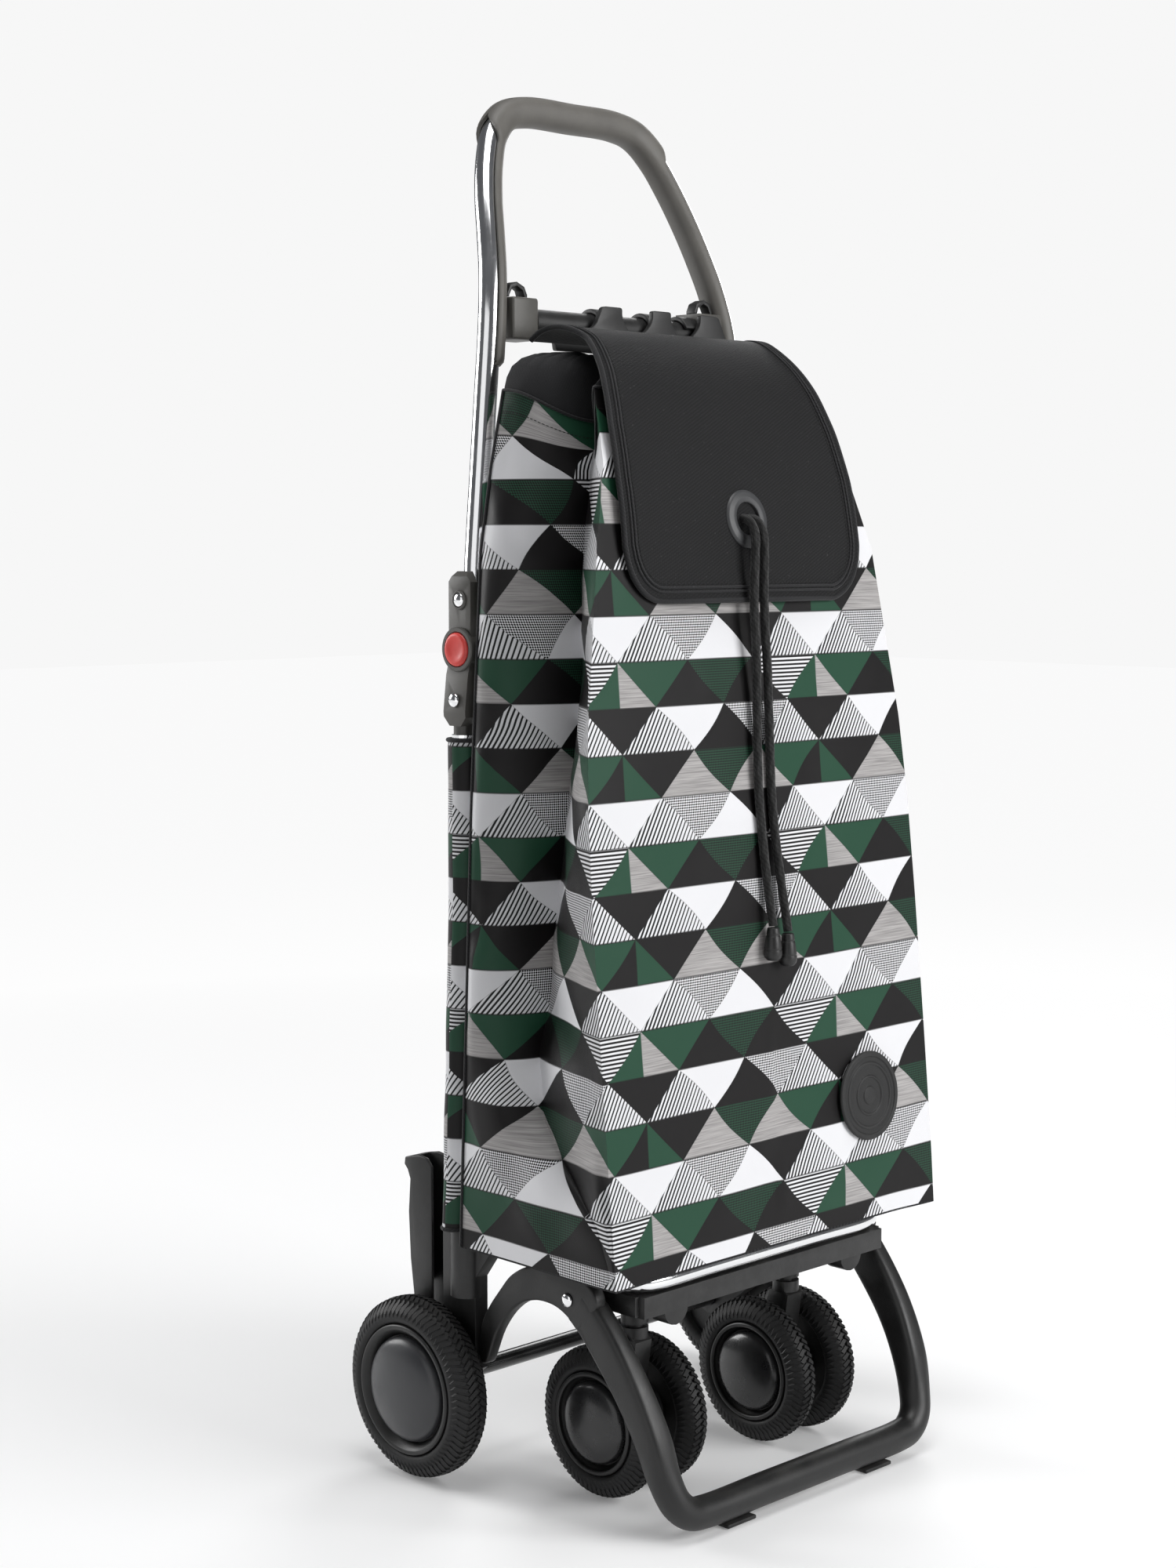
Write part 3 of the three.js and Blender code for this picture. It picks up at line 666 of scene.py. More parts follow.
def plasticMaterial(name, color, roughness, grain, bump, edge, dust, scuff, light):
    # grain in metres; edge, dust and scuff are shares; light is what rubbed edges gain
    material, g, surface, place = newMaterial(name, {"Base Color": color, "Roughness": roughness})
    spot = place.outputs["Object"]
    grains = g.group(grainGroup, Vector=spot, **{"Grain Size": grain})
    wear = g.group(wearGroup, Vector=spot, Edge=edge, Dust=dust, Scuff=scuff)
    mottled = g.mix(g.spread(grains.outputs["Mottle"], 0.3, 0.7), color, brighter(color, 1.3))
    worn = g.mix(wear.outputs["Edge Mask"], mottled, brighter(color, 1, light))
    dusty = g.mix(g.times(wear.outputs["Dust Mask"], 0.5), worn, (0.22, 0.21, 0.19, 1))
    g.link(dusty, surface.inputs["Base Color"])
    rough = g.spread(grains.outputs["Mottle"], 0.3, 0.7, roughness - 0.06, roughness + 0.08)
    rough = g.plus(rough, g.times(wear.outputs["Dust Mask"], 0.3))
    rough = g.plus(rough, g.times(wear.outputs["Scuff Mask"], 0.14), clamp=True)
    g.link(rough, surface.inputs["Roughness"])
    bumpInto(g, surface, grains.outputs["Height"], bump, grain * 0.35)
    return material


def chromeMaterial(name):
    material, g, surface, place = newMaterial(
        name, {"Base Color": (0.86, 0.87, 0.88, 1), "Metallic": 1.0, "Roughness": 0.07}
    )
    spot = place.outputs["Object"]
    wear = g.group(wearGroup, Vector=spot, Edge=0.2, Dust=0.2, Scuff=0.5)
    smear = g.spread(g.noise(spot, 34.0, 5, 0.6), 0.35, 0.7, 0.11, 0.19)
    rough = g.plus(smear, g.times(wear.outputs["Scuff Mask"], 0.12))
    rough = g.plus(rough, g.times(wear.outputs["Dust Mask"], 0.25), clamp=True)
    g.link(rough, surface.inputs["Roughness"])
    tint = g.mix(g.noise(spot, 12.0, 3, 0.5), (0.82, 0.83, 0.845, 1), (0.90, 0.90, 0.905, 1))
    g.link(tint, surface.inputs["Base Color"])
    drawn = g.noise(g.scaled(spot, (1.0, 1.0, 0.04)), 1500.0, 2, 0.5)
    bumpInto(g, surface, drawn, 0.03, 0.0001)
    return material


def rubberMaterial(name, color, roughness):
    material, g, surface, place = newMaterial(
        name, {"Base Color": color, "Roughness": roughness, "Specular IOR Level": 0.35}
    )
    spot = place.outputs["Object"]
    grains = g.group(grainGroup, Vector=spot, **{"Grain Size": 0.0012})
    wear = g.group(wearGroup, Vector=spot, Edge=0.5, Dust=0.5, Scuff=0.2)
    greyed = g.mix(g.spread(grains.outputs["Mottle"], 0.35, 0.7), color, (0.018, 0.018, 0.0185, 1))
    worn = g.mix(wear.outputs["Edge Mask"], greyed, (0.075, 0.074, 0.072, 1))
    dusty = g.mix(g.times(wear.outputs["Dust Mask"], 0.4), worn, (0.16, 0.15, 0.14, 1))
    g.link(dusty, surface.inputs["Base Color"])
    rough = g.spread(grains.outputs["Mottle"], 0.3, 0.7, roughness - 0.1, roughness + 0.1)
    g.link(rough, surface.inputs["Roughness"])
    bumpInto(g, surface, grains.outputs["Height"], 0.3, 0.0004)
    return material


def printedMaterial(name):
    material, g, surface, place = newMaterial(
        name,
        {"Base Color": (0.4, 0.42, 0.41, 1), "Roughness": 0.42, "Sheen Weight": 0.01,
         "Sheen Roughness": 0.4, "Specular IOR Level": 0.20},
    )
    cloth = place.outputs["UV"]
    design = g.group(printGroup, Vector=cloth)
    threads = g.group(weaveGroup, Vector=cloth, Thread=0.00045, Slant=0.0)
    # the hollows between the threads are painted darker as shade and the thread tops a little lighter as a
    # painted highlight
    shade = g.spread(threads.outputs["Height"], 0.2, 1.0, 0.86, 1.06)
    toned = g.node("ShaderNodeVectorMath", operation="SCALE")
    g.link(design.outputs["Color"], toned.inputs[0])
    g.link(shade, toned.inputs["Scale"])
    g.link(toned.outputs[0], surface.inputs["Base Color"])
    rough = g.spread(g.noise(cloth, 9.0, 3, 0.5), 0.3, 0.7, 0.36, 0.48)
    g.link(g.plus(rough, g.times(design.outputs["Ink"], 0.06)), surface.inputs["Roughness"])
    relief = g.plus(threads.outputs["Height"], g.times(design.outputs["Height"], 0.4))
    bumpInto(g, surface, relief, 0.22, 0.00018)
    return material


def twillMaterial(name, color, thread, slant, strength, sheen=0.25):
    material, g, surface, place = newMaterial(
        name, {"Base Color": color, "Roughness": 0.72, "Sheen Weight": sheen, "Sheen Roughness": 0.45,
               "Specular IOR Level": 0.22},
    )
    cloth = place.outputs["UV"]
    threads = g.group(weaveGroup, Vector=cloth, Thread=thread, Slant=slant)
    # the raised twill threads are painted lighter as a highlight; the same light colour also gives the
    # random faded patches
    light = brighter(color, 2.0, 0.002)
    ribHighlighted = g.mix(g.times(threads.outputs["Line"], threads.outputs["Height"]), color, light)
    lint = g.spread(g.noise(cloth, 420.0, 3, 0.6), 0.64, 0.74, 0.0, 0.35)
    faded = g.mix(g.spread(g.noise(cloth, 14.0, 4, 0.6), 0.4, 0.75, 0.0, 0.35), ribHighlighted, light)
    g.link(g.mix(lint, faded, (0.12, 0.12, 0.12, 1)), surface.inputs["Base Color"])
    g.link(g.spread(threads.outputs["Height"], 0.0, 1.0, 0.80, 0.62), surface.inputs["Roughness"])
    bumpInto(g, surface, threads.outputs["Height"], strength, thread * 0.5)
    return material


def glossBlack(name, color, roughness, coat=0.0, edge=0.35, dust=0.35, scuff=0.4):
    material, g, surface, place = newMaterial(
        name, {"Base Color": color, "Roughness": roughness, "Coat Weight": coat, "Coat Roughness": 0.12}
    )
    spot = place.outputs["Object"]
    wear = g.group(wearGroup, Vector=spot, Edge=edge, Dust=dust, Scuff=scuff)
    worn = g.mix(wear.outputs["Edge Mask"], color, (0.12, 0.12, 0.12, 1))
    dusty = g.mix(g.times(wear.outputs["Dust Mask"], 0.4), worn, (0.2, 0.19, 0.18, 1))
    g.link(dusty, surface.inputs["Base Color"])
    rough = g.spread(g.noise(spot, 45.0, 5, 0.6), 0.3, 0.7, roughness - 0.06, roughness + 0.1)
    g.link(g.plus(rough, g.times(wear.outputs["Scuff Mask"], 0.2), clamp=True), surface.inputs["Roughness"])
    bumpInto(g, surface, g.noise(spot, 320.0, 3, 0.5), 0.04, 0.0003)
    return material


finishes = {
    "chrome": chromeMaterial("bright chrome"),
    "grip": plasticMaterial(
        "warm grey grip", (0.098, 0.093, 0.084, 1), 0.5,
        grain=0.0008, bump=0.3, edge=0.15, dust=0.12, scuff=0.1, light=0.03,
    ),
    "housing": plasticMaterial(
        "warm grey housing", (0.070, 0.067, 0.060, 1), 0.42,
        grain=0.0008, bump=0.22, edge=0.3, dust=0.2, scuff=0.2, light=0.05,
    ),
    "black": plasticMaterial(
        "black moulded plastic", (0.0062, 0.0062, 0.0062, 1), 0.42,
        grain=0.0008, bump=0.25, edge=0.35, dust=0.25, scuff=0.35, light=0.04,
    ),
    "hanger": plasticMaterial(
        "soft black moulding", (0.014, 0.014, 0.014, 1), 0.46,
        grain=0.0006, bump=0.2, edge=0.3, dust=0.2, scuff=0.2, light=0.03,
    ),
    "tyre": rubberMaterial("tyre rubber", (0.0080, 0.0080, 0.0082, 1), 0.58),
    "hub": glossBlack("caster hub", (0.010, 0.010, 0.011, 1), 0.28, 0.2),
    "cap": glossBlack("rear hub", (0.030, 0.031, 0.035, 1), 0.36, 0.1),
    "paint": glossBlack("black paint", (0.008, 0.008, 0.008, 1), 0.20, 0.5, 0.12, 0.12, 0.05),
    "red": plasticMaterial(
        "red button", (0.72, 0.055, 0.045, 1), 0.38,
        grain=0.0006, bump=0.12, edge=0.3, dust=0.15, scuff=0.3, light=0.10,
    ),
    "badge": rubberMaterial("badge rubber", (0.016, 0.016, 0.016, 1), 0.55),
    "eyelet": plasticMaterial(
        "eyelet plastic", (0.034, 0.035, 0.037, 1), 0.45,
        grain=0.0006, bump=0.15, edge=0.35, dust=0.1, scuff=0.2, light=0.04,
    ),
    "print": printedMaterial("printed polyester"),
    "flap": twillMaterial("black twill", (0.0050, 0.0050, 0.0054, 1), 0.0013, 1.0, 0.4, 0.03),
    "binding": twillMaterial("black binding", (0.010, 0.010, 0.011, 1), 0.0008, 0.0, 0.45, 0.15),
    "lining": twillMaterial("black lining", (0.008, 0.008, 0.009, 1), 0.0010, 0.0, 0.3, 0.1),
    "cord": twillMaterial("braided cord", (0.010, 0.010, 0.010, 1), 0.0011, 0.0, 0.5, 0.2),
    "thread": twillMaterial("sewing thread", (0.014, 0.014, 0.014, 1), 0.0004, 1.0, 0.4, 0.1),
}
print("materials made:", len(finishes))

# repeated details, made with geometry nodes


def newGeometryTree(name, inputs):
    tree = bpy.data.node_groups.new(name, "GeometryNodeTree")
    tree.interface.new_socket("Geometry", in_out="INPUT", socket_type="NodeSocketGeometry")
    for label, kind in inputs:
        tree.interface.new_socket(label, in_out="INPUT", socket_type="NodeSocket" + kind)
    tree.interface.new_socket("Geometry", in_out="OUTPUT", socket_type="NodeSocketGeometry")
    graph = Graph(tree)
    return tree, graph, graph.node("NodeGroupInput"), graph.node("NodeGroupOutput")


def runGeometry(obj, tree, values, smoothAngle=35):
    modifier = obj.modifiers.new("made", "NODES")
    modifier.node_group = tree
    for item in tree.interface.items_tree:
        if item.in_out == "INPUT" and item.name in values:
            modifier[item.identifier] = values[item.name]
    return bake(obj, smoothAngle)


def makeTreadTree():
    # two rows of slanted blocks round a ring, the second half a step on and slanted the other way
    tree, g, given, result = newGeometryTree(
        "tread blocks",
        [("Count", "Int"), ("Radius", "Float"), ("Row Offset", "Float"), ("Block Size", "Vector"),
         ("Slant", "Float"), ("Material", "Material")],
    )
    rows = g.node("GeometryNodeJoinGeometry")
    for sign in (-1, 1):
        ring = g.node("GeometryNodeMeshCircle")
        g.link(given.outputs["Count"], ring.inputs["Vertices"])
        g.link(given.outputs["Radius"], ring.inputs["Radius"])
        turn = g.times(g.math("DIVIDE", math.pi, given.outputs["Count"]), 0.5 * sign)
        spin = g.node("ShaderNodeCombineXYZ")
        g.link(turn, spin.inputs["Z"])
        shift = g.node("ShaderNodeCombineXYZ")
        g.link(g.times(given.outputs["Row Offset"], sign), shift.inputs["Z"])
        placed = g.node("GeometryNodeTransform")
        g.link(ring.outputs["Mesh"], placed.inputs["Geometry"])
        g.link(shift.outputs[0], placed.inputs["Translation"])
        g.link(spin.outputs[0], placed.inputs["Rotation"])
        position = g.node("GeometryNodeInputPosition")
        flatten = g.scaled(position.outputs[0], (1.0, 1.0, 0.0))
        align = g.node("FunctionNodeAlignEulerToVector", axis="X")
        g.link(flatten, align.inputs["Vector"])
        lean = g.node("ShaderNodeCombineXYZ")
        g.link(g.times(given.outputs["Slant"], sign), lean.inputs["X"])
        turned_ = g.node("FunctionNodeRotateEuler", rotation_type="EULER", space="LOCAL")
        g.link(align.outputs[0], turned_.inputs["Rotation"])
        g.link(lean.outputs[0], turned_.inputs["Rotate By"])
        block = g.node("GeometryNodeMeshCube")
        g.link(given.outputs["Block Size"], block.inputs["Size"])
        put = g.node("GeometryNodeInstanceOnPoints")
        g.link(placed.outputs[0], put.inputs["Points"])
        g.link(block.outputs["Mesh"], put.inputs["Instance"])
        g.link(turned_.outputs[0], put.inputs["Rotation"])
        g.link(put.outputs[0], rows.inputs[0])
    real = g.node("GeometryNodeRealizeInstances")
    g.link(rows.outputs[0], real.inputs[0])
    painted = g.node("GeometryNodeSetMaterial")
    g.link(real.outputs[0], painted.inputs["Geometry"])
    g.link(given.outputs["Material"], painted.inputs["Material"])
    g.link(painted.outputs[0], result.inputs["Geometry"])
    return tree


def makeStitchTree():
    # short threads laid end to end along the object's edges
    tree, g, given, result = newGeometryTree(
        "stitches", [("Spacing", "Float"), ("Stitch Size", "Vector"), ("Material", "Material")]
    )
    curve = g.node("GeometryNodeMeshToCurve")
    g.link(given.outputs["Geometry"], curve.inputs["Mesh"])
    even = g.node("GeometryNodeCurveToPoints", mode="LENGTH")
    g.link(curve.outputs[0], even.inputs["Curve"])
    g.link(given.outputs["Spacing"], even.inputs["Length"])
    seed = g.node("GeometryNodeMeshUVSphere")
    seed.inputs["Segments"].default_value = 6
    seed.inputs["Rings"].default_value = 4
    seed.inputs["Radius"].default_value = 0.5
    put = g.node("GeometryNodeInstanceOnPoints")
    g.link(even.outputs["Points"], put.inputs["Points"])
    g.link(seed.outputs["Mesh"], put.inputs["Instance"])
    g.link(even.outputs["Rotation"], put.inputs["Rotation"])
    g.link(given.outputs["Stitch Size"], put.inputs["Scale"])
    real = g.node("GeometryNodeRealizeInstances")
    g.link(put.outputs[0], real.inputs[0])
    painted = g.node("GeometryNodeSetMaterial")
    g.link(real.outputs[0], painted.inputs["Geometry"])
    g.link(given.outputs["Material"], painted.inputs["Material"])
    g.link(painted.outputs[0], result.inputs["Geometry"])
    return tree


treadTree = makeTreadTree()
stitchTree = makeStitchTree()


def stitchLine(name, points, material, spacing=0.0034, size=(0.0007, 0.0007, 0.0026), closed=False):
    points = [tuple(p) for p in points]
    edges = [(i, i + 1) for i in range(len(points) - 1)]
    if closed:
        edges.append((len(points) - 1, 0))
    mesh = bpy.data.meshes.new(name)
    mesh.from_pydata(points, edges, [])
    values = {"Spacing": spacing, "Stitch Size": size, "Material": material}
    return runGeometry(addObject(name, mesh), stitchTree, values)


# handle

handleSettings = {
    "radius": 0.009,
    "gripRadius": 0.0125,
    "gripStart": 0.2,
    "gripFull": 0.4,
    "crossBarRadius": 0.011,
    "crossBar": (-0.028, 0.914),
    "clampBevel": 0.0022,
}
handleSide = [
    (155, -36.5, 684), (155, -36.5, 702), (155, -36.5, 721), (153.4, -36.2, 740), (143.5, -33.5, 830),
    (134.5, -31, 915), (128.3, -25, 950), (121.9, -16, 980), (114.5, -5.5, 1010), (104, 5, 1040),
    (92, 12.5, 1063), (74, 17, 1080), (50, 18, 1086),
]


def mirrored(points):
    return [(-x, y, z) for x, y, z in points] + [p for p in reversed(points) if p[0] != 0]


handlePath = curvePoints(fromAxle(mirrored(handleSide + [(0, 18, 1086.5)])), 320)


def makeGrip(settings):
    start, full = settings["gripStart"], settings["gripFull"]
    inner, outer = settings["radius"] + 0.0006, settings["gripRadius"]
    first, last = int(start * 319), int((1 - start) * 319) + 1
    path = handlePath[first:last + 1]
    length = np.linalg.norm(np.diff(path, axis=0), axis=1).sum()
    steps = 30

    def sectionAt(i, share):
        along = share * length
        fromEnd = min(along, length - along)
        place = start + share * (1 - 2 * start)
        opened = ease(min(place, 1 - place), full - 0.012, full + 0.012)
        reach = (0.5 + 0.496 * opened) * math.pi
        skin = inner + (outer - inner) * math.sqrt(1 - (1 - min(1, fromEnd / 0.007)) ** 2) + 0.0002
        ring = []
        for k in range(steps + 1):
            a = math.pi - reach + 2 * reach * k / steps
            edge = min(k, steps - k) / steps
            lip = 1 - (0.10 * (1 - ease(edge, 0, 0.06))) * (1 - opened)
            square = 1 + 0.035 * math.cos(4 * a) * -1
            ring.append((skin * lip * square * math.cos(a), skin * lip * square * math.sin(a)))
        for k in range(steps, -1, -1):
            a = math.pi - reach + 2 * reach * k / steps
            ring.append((inner * math.cos(a), inner * math.sin(a)))
        return ring

    return sweep("handleGrip", path, sectionAt, (0, -1, 0), smoothAngle=50)


def makeHandle(settings):
    tube = circle(settings["radius"], 32)
    bar = sweep("handleTube", handlePath, lambda i, share: tube, (0, -1, 0))
    dress(bar, finishes["chrome"], "handle", "chrome", "handle_tube")
    dress(makeGrip(settings), finishes["grip"], "handle", "grey_plastic", "handle_grip")
    y, z = settings["crossBar"]
    r = settings["crossBarRadius"]
    ends = [(0, -0.110), (r - 0.0015, -0.110), (r, -0.1085), (r, 0.1085), (r - 0.0015, 0.110), (0, 0.110)]
    cross = turned("crossBar", ends, 40, (0, y + axleY / 1000, z))
    dress(cross, finishes["black"], "handle", "black_plastic", "cross_bar")
    for name, _ in sides:
        clamp = cadCopy("crossBarClamp_" + name, "cross_bar_clamp_" + name, settings["clampBevel"], 4)
        dress(clamp, finishes["housing"], "handle", "grey_plastic", "cross_bar_clamp_" + name)
        clip = cadCopy("bagStrapClip_" + name, "bag_strap_clip_" + name, 0.0007, 3)
        dress(clip, finishes["black"], "handle", "black_plastic", "bag_strap_clip_" + name)


makeHandle(handleSettings)
print("handle made")

# hinges and lower tubes

hingeSettings = {
    "tube": (0.167, 0.056, 0.010, 0.0088),
    "tubeSpan": (0.152, 0.594),
    "housingBevel": 0.0022,
    "button": (0.0555, 0.660, 0.013),
    # from and to across, y, z, shank radius and head radius
    "pin": (0.1421, 0.1724, 0.0555, 0.698, 0.003, 0.0055),
    "rivet": (0.1511, 0.1783, 0.0555, 0.621, 0.003, 0.0055),
}


def makeRivet(name, x0, x1, y, z, shank, head, sign, dome=0.0026):
    profile = [(0, x0 - dome)]
    for k in range(1, 7):
        a = 0.5 * math.pi * k / 6
        profile.append((head * math.sin(a), x0 - dome * math.cos(a) - 0.0001))
    profile += [(head, x0), (shank, x0), (shank, x1), (head, x1)]
    for k in range(6, 0, -1):
        a = 0.5 * math.pi * k / 6
        profile.append((head * math.sin(a), x1 + dome * math.cos(a) + 0.0001))
    profile.append((0, x1 + dome))
    return turned(name, profile, 32, (0, y, z), "X", sign, 40)


def makeRing(name, inner, outer, x, rise, y, z, sign):
    # a raised round lip on a flat side
    high = x + rise
    profile = [
        (inner, x - 0.0006), (inner, high - 0.0004), (inner + 0.0004, high),
        (outer - 0.0008, high), (outer, high - 0.0008), (outer, x - 0.0006),
    ]
    return turned(name, profile, 48, (0, y, z), "X", sign, 40)


def makeHinges(settings):
    x, y, radius, bore = settings["tube"]
    low, high = settings["tubeSpan"]
    for name, sign in sides:
        tube = turned(
            "lowerTube_" + name, [(bore, low), (radius, low), (radius, high), (bore, high)], 40,
            (sign * x, y, 0), "Z",
        )
        dress(tube, finishes["chrome"], "frame", "chrome", "lower_tube_" + name)
        housing = cadCopy("hingeHousing_" + name, "hinge_housing_" + name, settings["housingBevel"], 4)
        buttonY, buttonZ, buttonRadius = settings["button"]
        lip = makeRing("lip", buttonRadius + 0.0006, 0.0172, 0.1734, 0.0022, buttonY, buttonZ, sign)
        pinRing = makeRing("pinLip", 0.0058, 0.0076, 0.1718, 0.0016, *settings["pin"][2:4], sign)
        housing = joinObjects("hingeHousing_" + name, [housing, lip, pinRing])
        dress(housing, finishes["housing"], "frame", "grey_plastic", "hinge_housing_" + name)
        pin = makeRivet("hingePin_" + name, *settings["pin"], sign)
        dress(pin, finishes["chrome"], "frame", "chrome", "hinge_pin_" + name)
        rivet = makeRivet("housingRivet_" + name, *settings["rivet"], sign)
        dress(rivet, finishes["chrome"], "frame", "chrome", "housing_rivet_" + name)
        r = buttonRadius
        cap = [
            (0, 0.1642), (r - 0.002, 0.1642), (r, 0.1662), (r, 0.1755), (r - 0.0004, 0.1764),
            (r - 0.0016, 0.1772), (r - 0.0030, 0.1774), (0.0075, 0.1768), (0.003, 0.1765), (0, 0.1765),
        ]
        button = turned("releaseButton_" + name, cap, 48, (0, buttonY, buttonZ), "X", sign, 45)
        dress(button, finishes["red"], "release_button_" + name, "red_plastic", "release_button_" + name)


makeHinges(hingeSettings)
print("hinges made")

# rear legs, axle and wheels

wheelSettings = {
    "rear": {"radius": 0.0725, "width": 0.034, "hub": 0.0525, "bore": 0.0073, "blind": 0.011,
             "reach": 0.0235, "blocks": 78},
    "caster": {"radius": 0.060, "width": 0.026, "hub": 0.041, "bore": 0.0043, "blind": 0.010,
               "reach": 0.0185, "blocks": 66},
    "rearCentre": (0.187, axleY / 1000, 0.0725),
    "casterX": 0.090,
    "casterOffset": 0.025,
    "casterCentre": (-0.044, 0.060),
    "axle": (0.007, 0.197),  # radius and half length
    "casterAxle": (0.004, 0.034),
}


def tyreRadiusAt(across, size):
    # a round shoulder between the crown and the sidewall
    half = 0.5 * size["width"]
    return size["radius"] - 0.0018 - 0.0122 * (abs(across) / half) ** 3.4


def makeTyre(name, size, centre, sign):
    half, radius, hub = 0.5 * size["width"], size["radius"], size["hub"]
    profile = [(hub, -half + 0.0030), (hub + 0.0012, -half + 0.0012), (hub + 0.0035, -half + 0.0002)]
    for across in np.linspace(-half, 0, 15):
        profile.append((tyreRadiusAt(across, size), across * (1 - 0.02 * (across < -0.9 * half))))
    profile = profile[:-1] + [(radius - 0.0030, -0.0004)]
    profile = profile + [(r, -h) for r, h in reversed(profile)]
    body = turned(name, profile, 96, (0, 0, 0), "Z", 1, 60)
    body.data.materials.append(finishes["tyre"])
    parts = [body]
    rows = (
        # share of the width, block size round the tyre and across it, slant in degrees
        (0.14, 0.0031, 0.25, 38),
        (0.38, 0.0030, 0.22, -34),
    )
    for place, width, reach, slant in rows:
        seed = makeObject("seed", [(0, 0, 0)], [])
        parts.append(runGeometry(seed, treadTree, {
            "Count": size["blocks"], "Radius": radius - 0.0030, "Row Offset": place * size["width"],
            "Block Size": (0.0080, width, reach * size["width"]), "Slant": math.radians(slant),
            "Material": finishes["tyre"],
        }))
    for extra in parts[1:]:
        for v in extra.data.vertices:
            across = math.hypot(v.co.x, v.co.y)
            limit = tyreRadiusAt(v.co.z, size) + (0.0016 if across > radius - 0.0030 else -0.0015)
            v.co.x *= limit / across
            v.co.y *= limit / across
    tyre = joinObjects(name, parts)
    for v in tyre.data.vertices:
        x, y, z = v.co
        v.co = (centre[0] + sign * z, centre[1] + y, centre[2] + x)
    if sign < 0:
        tyre.data.flip_normals()
    return tyre


def makeHub(name, size, centre, sign):
    # the outer ring with its bore, and the big smooth dome that caps it
    half, rim, bore = 0.5 * size["width"], size["hub"] - 0.0002, size["bore"]
    dome = 0.80 * rim
    profile = [(0, half - 0.0075), (dome + 0.0010, half - 0.0075), (dome + 0.0016, half - 0.0062)]
    profile += [(dome + 0.0040, half - 0.0030), (rim - 0.0040, half - 0.0002)]
    profile += [(rim - 0.0016, half + 0.0002)]
    profile += [(rim - 0.0004, half - 0.0006), (rim, half - 0.0024), (rim, -half + 0.008)]
    profile += [(0.5 * rim, -half + 0.010), (0.4 * rim, -half + 0.003), (bore, -half + 0.003)]
    profile += [(bore, min(size["blind"], half - 0.0090)), (0, min(size["blind"], half - 0.0090))]
    ring = turned(name, roundedProfile(profile, 0.0011, 3, False), 96, centre, "X", sign, 50)
    rise = size["reach"] - half + 0.0030
    cap = [(0, size["reach"])]
    for k in range(1, 15):
        share = k / 15
        cap.append((dome * share, half - 0.0030 + rise * (1 - share ** 2) ** 0.6))
    back = half - 0.0074
    cap += [(dome - 0.0002, half - 0.0036), (dome, half - 0.0050), (dome, back), (0, back)]
    return ring, turned(name + "_cap", cap, 96, centre, "X", sign, 60)


def makeAxle(name, radius, reach, centre):
    # a straight bar with its ends chamfered
    tip, face = reach - 0.0008, radius - 0.0008
    profile = [(0, -reach), (face, -reach), (radius, -tip), (radius, tip), (face, reach), (0, reach)]
    return turned(name, profile, 36, centre)


def makeWheels(settings):
    x, y, z = settings["rearCentre"]
    axle = makeAxle("rearAxle", *settings["axle"], (0, y, z))
    dress(axle, finishes["paint"], "frame", "black_paint", "rear_axle")
    for name, sign in sides:
        centre = (sign * x, y, z)
        body = "rear_wheel_" + name
        tyre = makeTyre("rearTyre_" + name, settings["rear"], centre, sign)
        dress(tyre, finishes["tyre"], body, "tyre_rubber", "rear_tyre_" + name)
        ring, cap = makeHub("rearHub_" + name, settings["rear"], centre, sign)
        dress(ring, finishes["black"], body, "hub_plastic", "rear_hub_" + name)
        dress(cap, finishes["cap"], body, "hub_plastic")
        casterY, casterZ = settings["casterCentre"]
        middle = sign * settings["casterX"]
        pin = makeAxle("casterAxle_" + name, *settings["casterAxle"], (middle, casterY, casterZ))
        dress(pin, finishes["paint"], "caster_" + name, "black_paint", "caster_axle_" + name)
        for half, way in sides:
            centre = (middle + way * settings["casterOffset"], casterY, casterZ)
            tail = name + "_" + half
            tyre = makeTyre("casterTyre_" + tail, settings["caster"], centre, way)
            dress(tyre, finishes["tyre"], "caster_wheel_" + tail, "tyre_rubber", "caster_tyre_" + tail)
            ring, cap = makeHub("casterHub_" + tail, settings["caster"], centre, way)
            dress(ring, finishes["black"], "caster_wheel_" + tail, "hub_plastic", "caster_hub_" + tail)
            dress(cap, finishes["hub"], "caster_wheel_" + tail, "hub_plastic")


makeWheels(wheelSettings)
print("wheels made")

# undercarriage

baseSettings = {
    "railRadius": 0.0075,
    "standRadius": 0.0125,
    "archSpan": (0.1554, 0.167),
    "plasticBevel": 0.0016,
    # from and to across, y, z, shank radius and head radius
    "pivot": (0.1389, 0.1696, 0.037, 0.1965, 0.0031, 0.005),
    "rivet": (0.1324, 0.1676, -0.058, 0.170, 0.0031, 0.0055),
}
railSide = [
    (147, -47, 197), (147, -100, 193), (147, -172, 188), (143.5, -186, 187), (135, -196, 186.3),
    (120, -200, 186), (60, -200, 186), (0, -200, 186),
]
standSide = [
    (158, -158, 166), (157.5, -170, 156), (155.5, -206, 112), (152.5, -226, 76), (149.5, -235, 48),
    (143, -241, 29), (131, -243.5, 19), (116, -244, 16.5), (50, -244, 16.5), (0, -244, 16.5),
]
archOutline = [
    (-50, 98), (-50, 118), (-52, 132), (-62, 148), (-84, 175), (-98, 184), (-114, 190), (-130, 192.5),
    (-158, 192.5), (-176, 184), (-182, 172), (-160, 146), (-150, 156), (-136, 162), (-118, 163),
    (-100, 158), (-84, 146), (-70, 128), (-60, 104), (-57, 98),
]


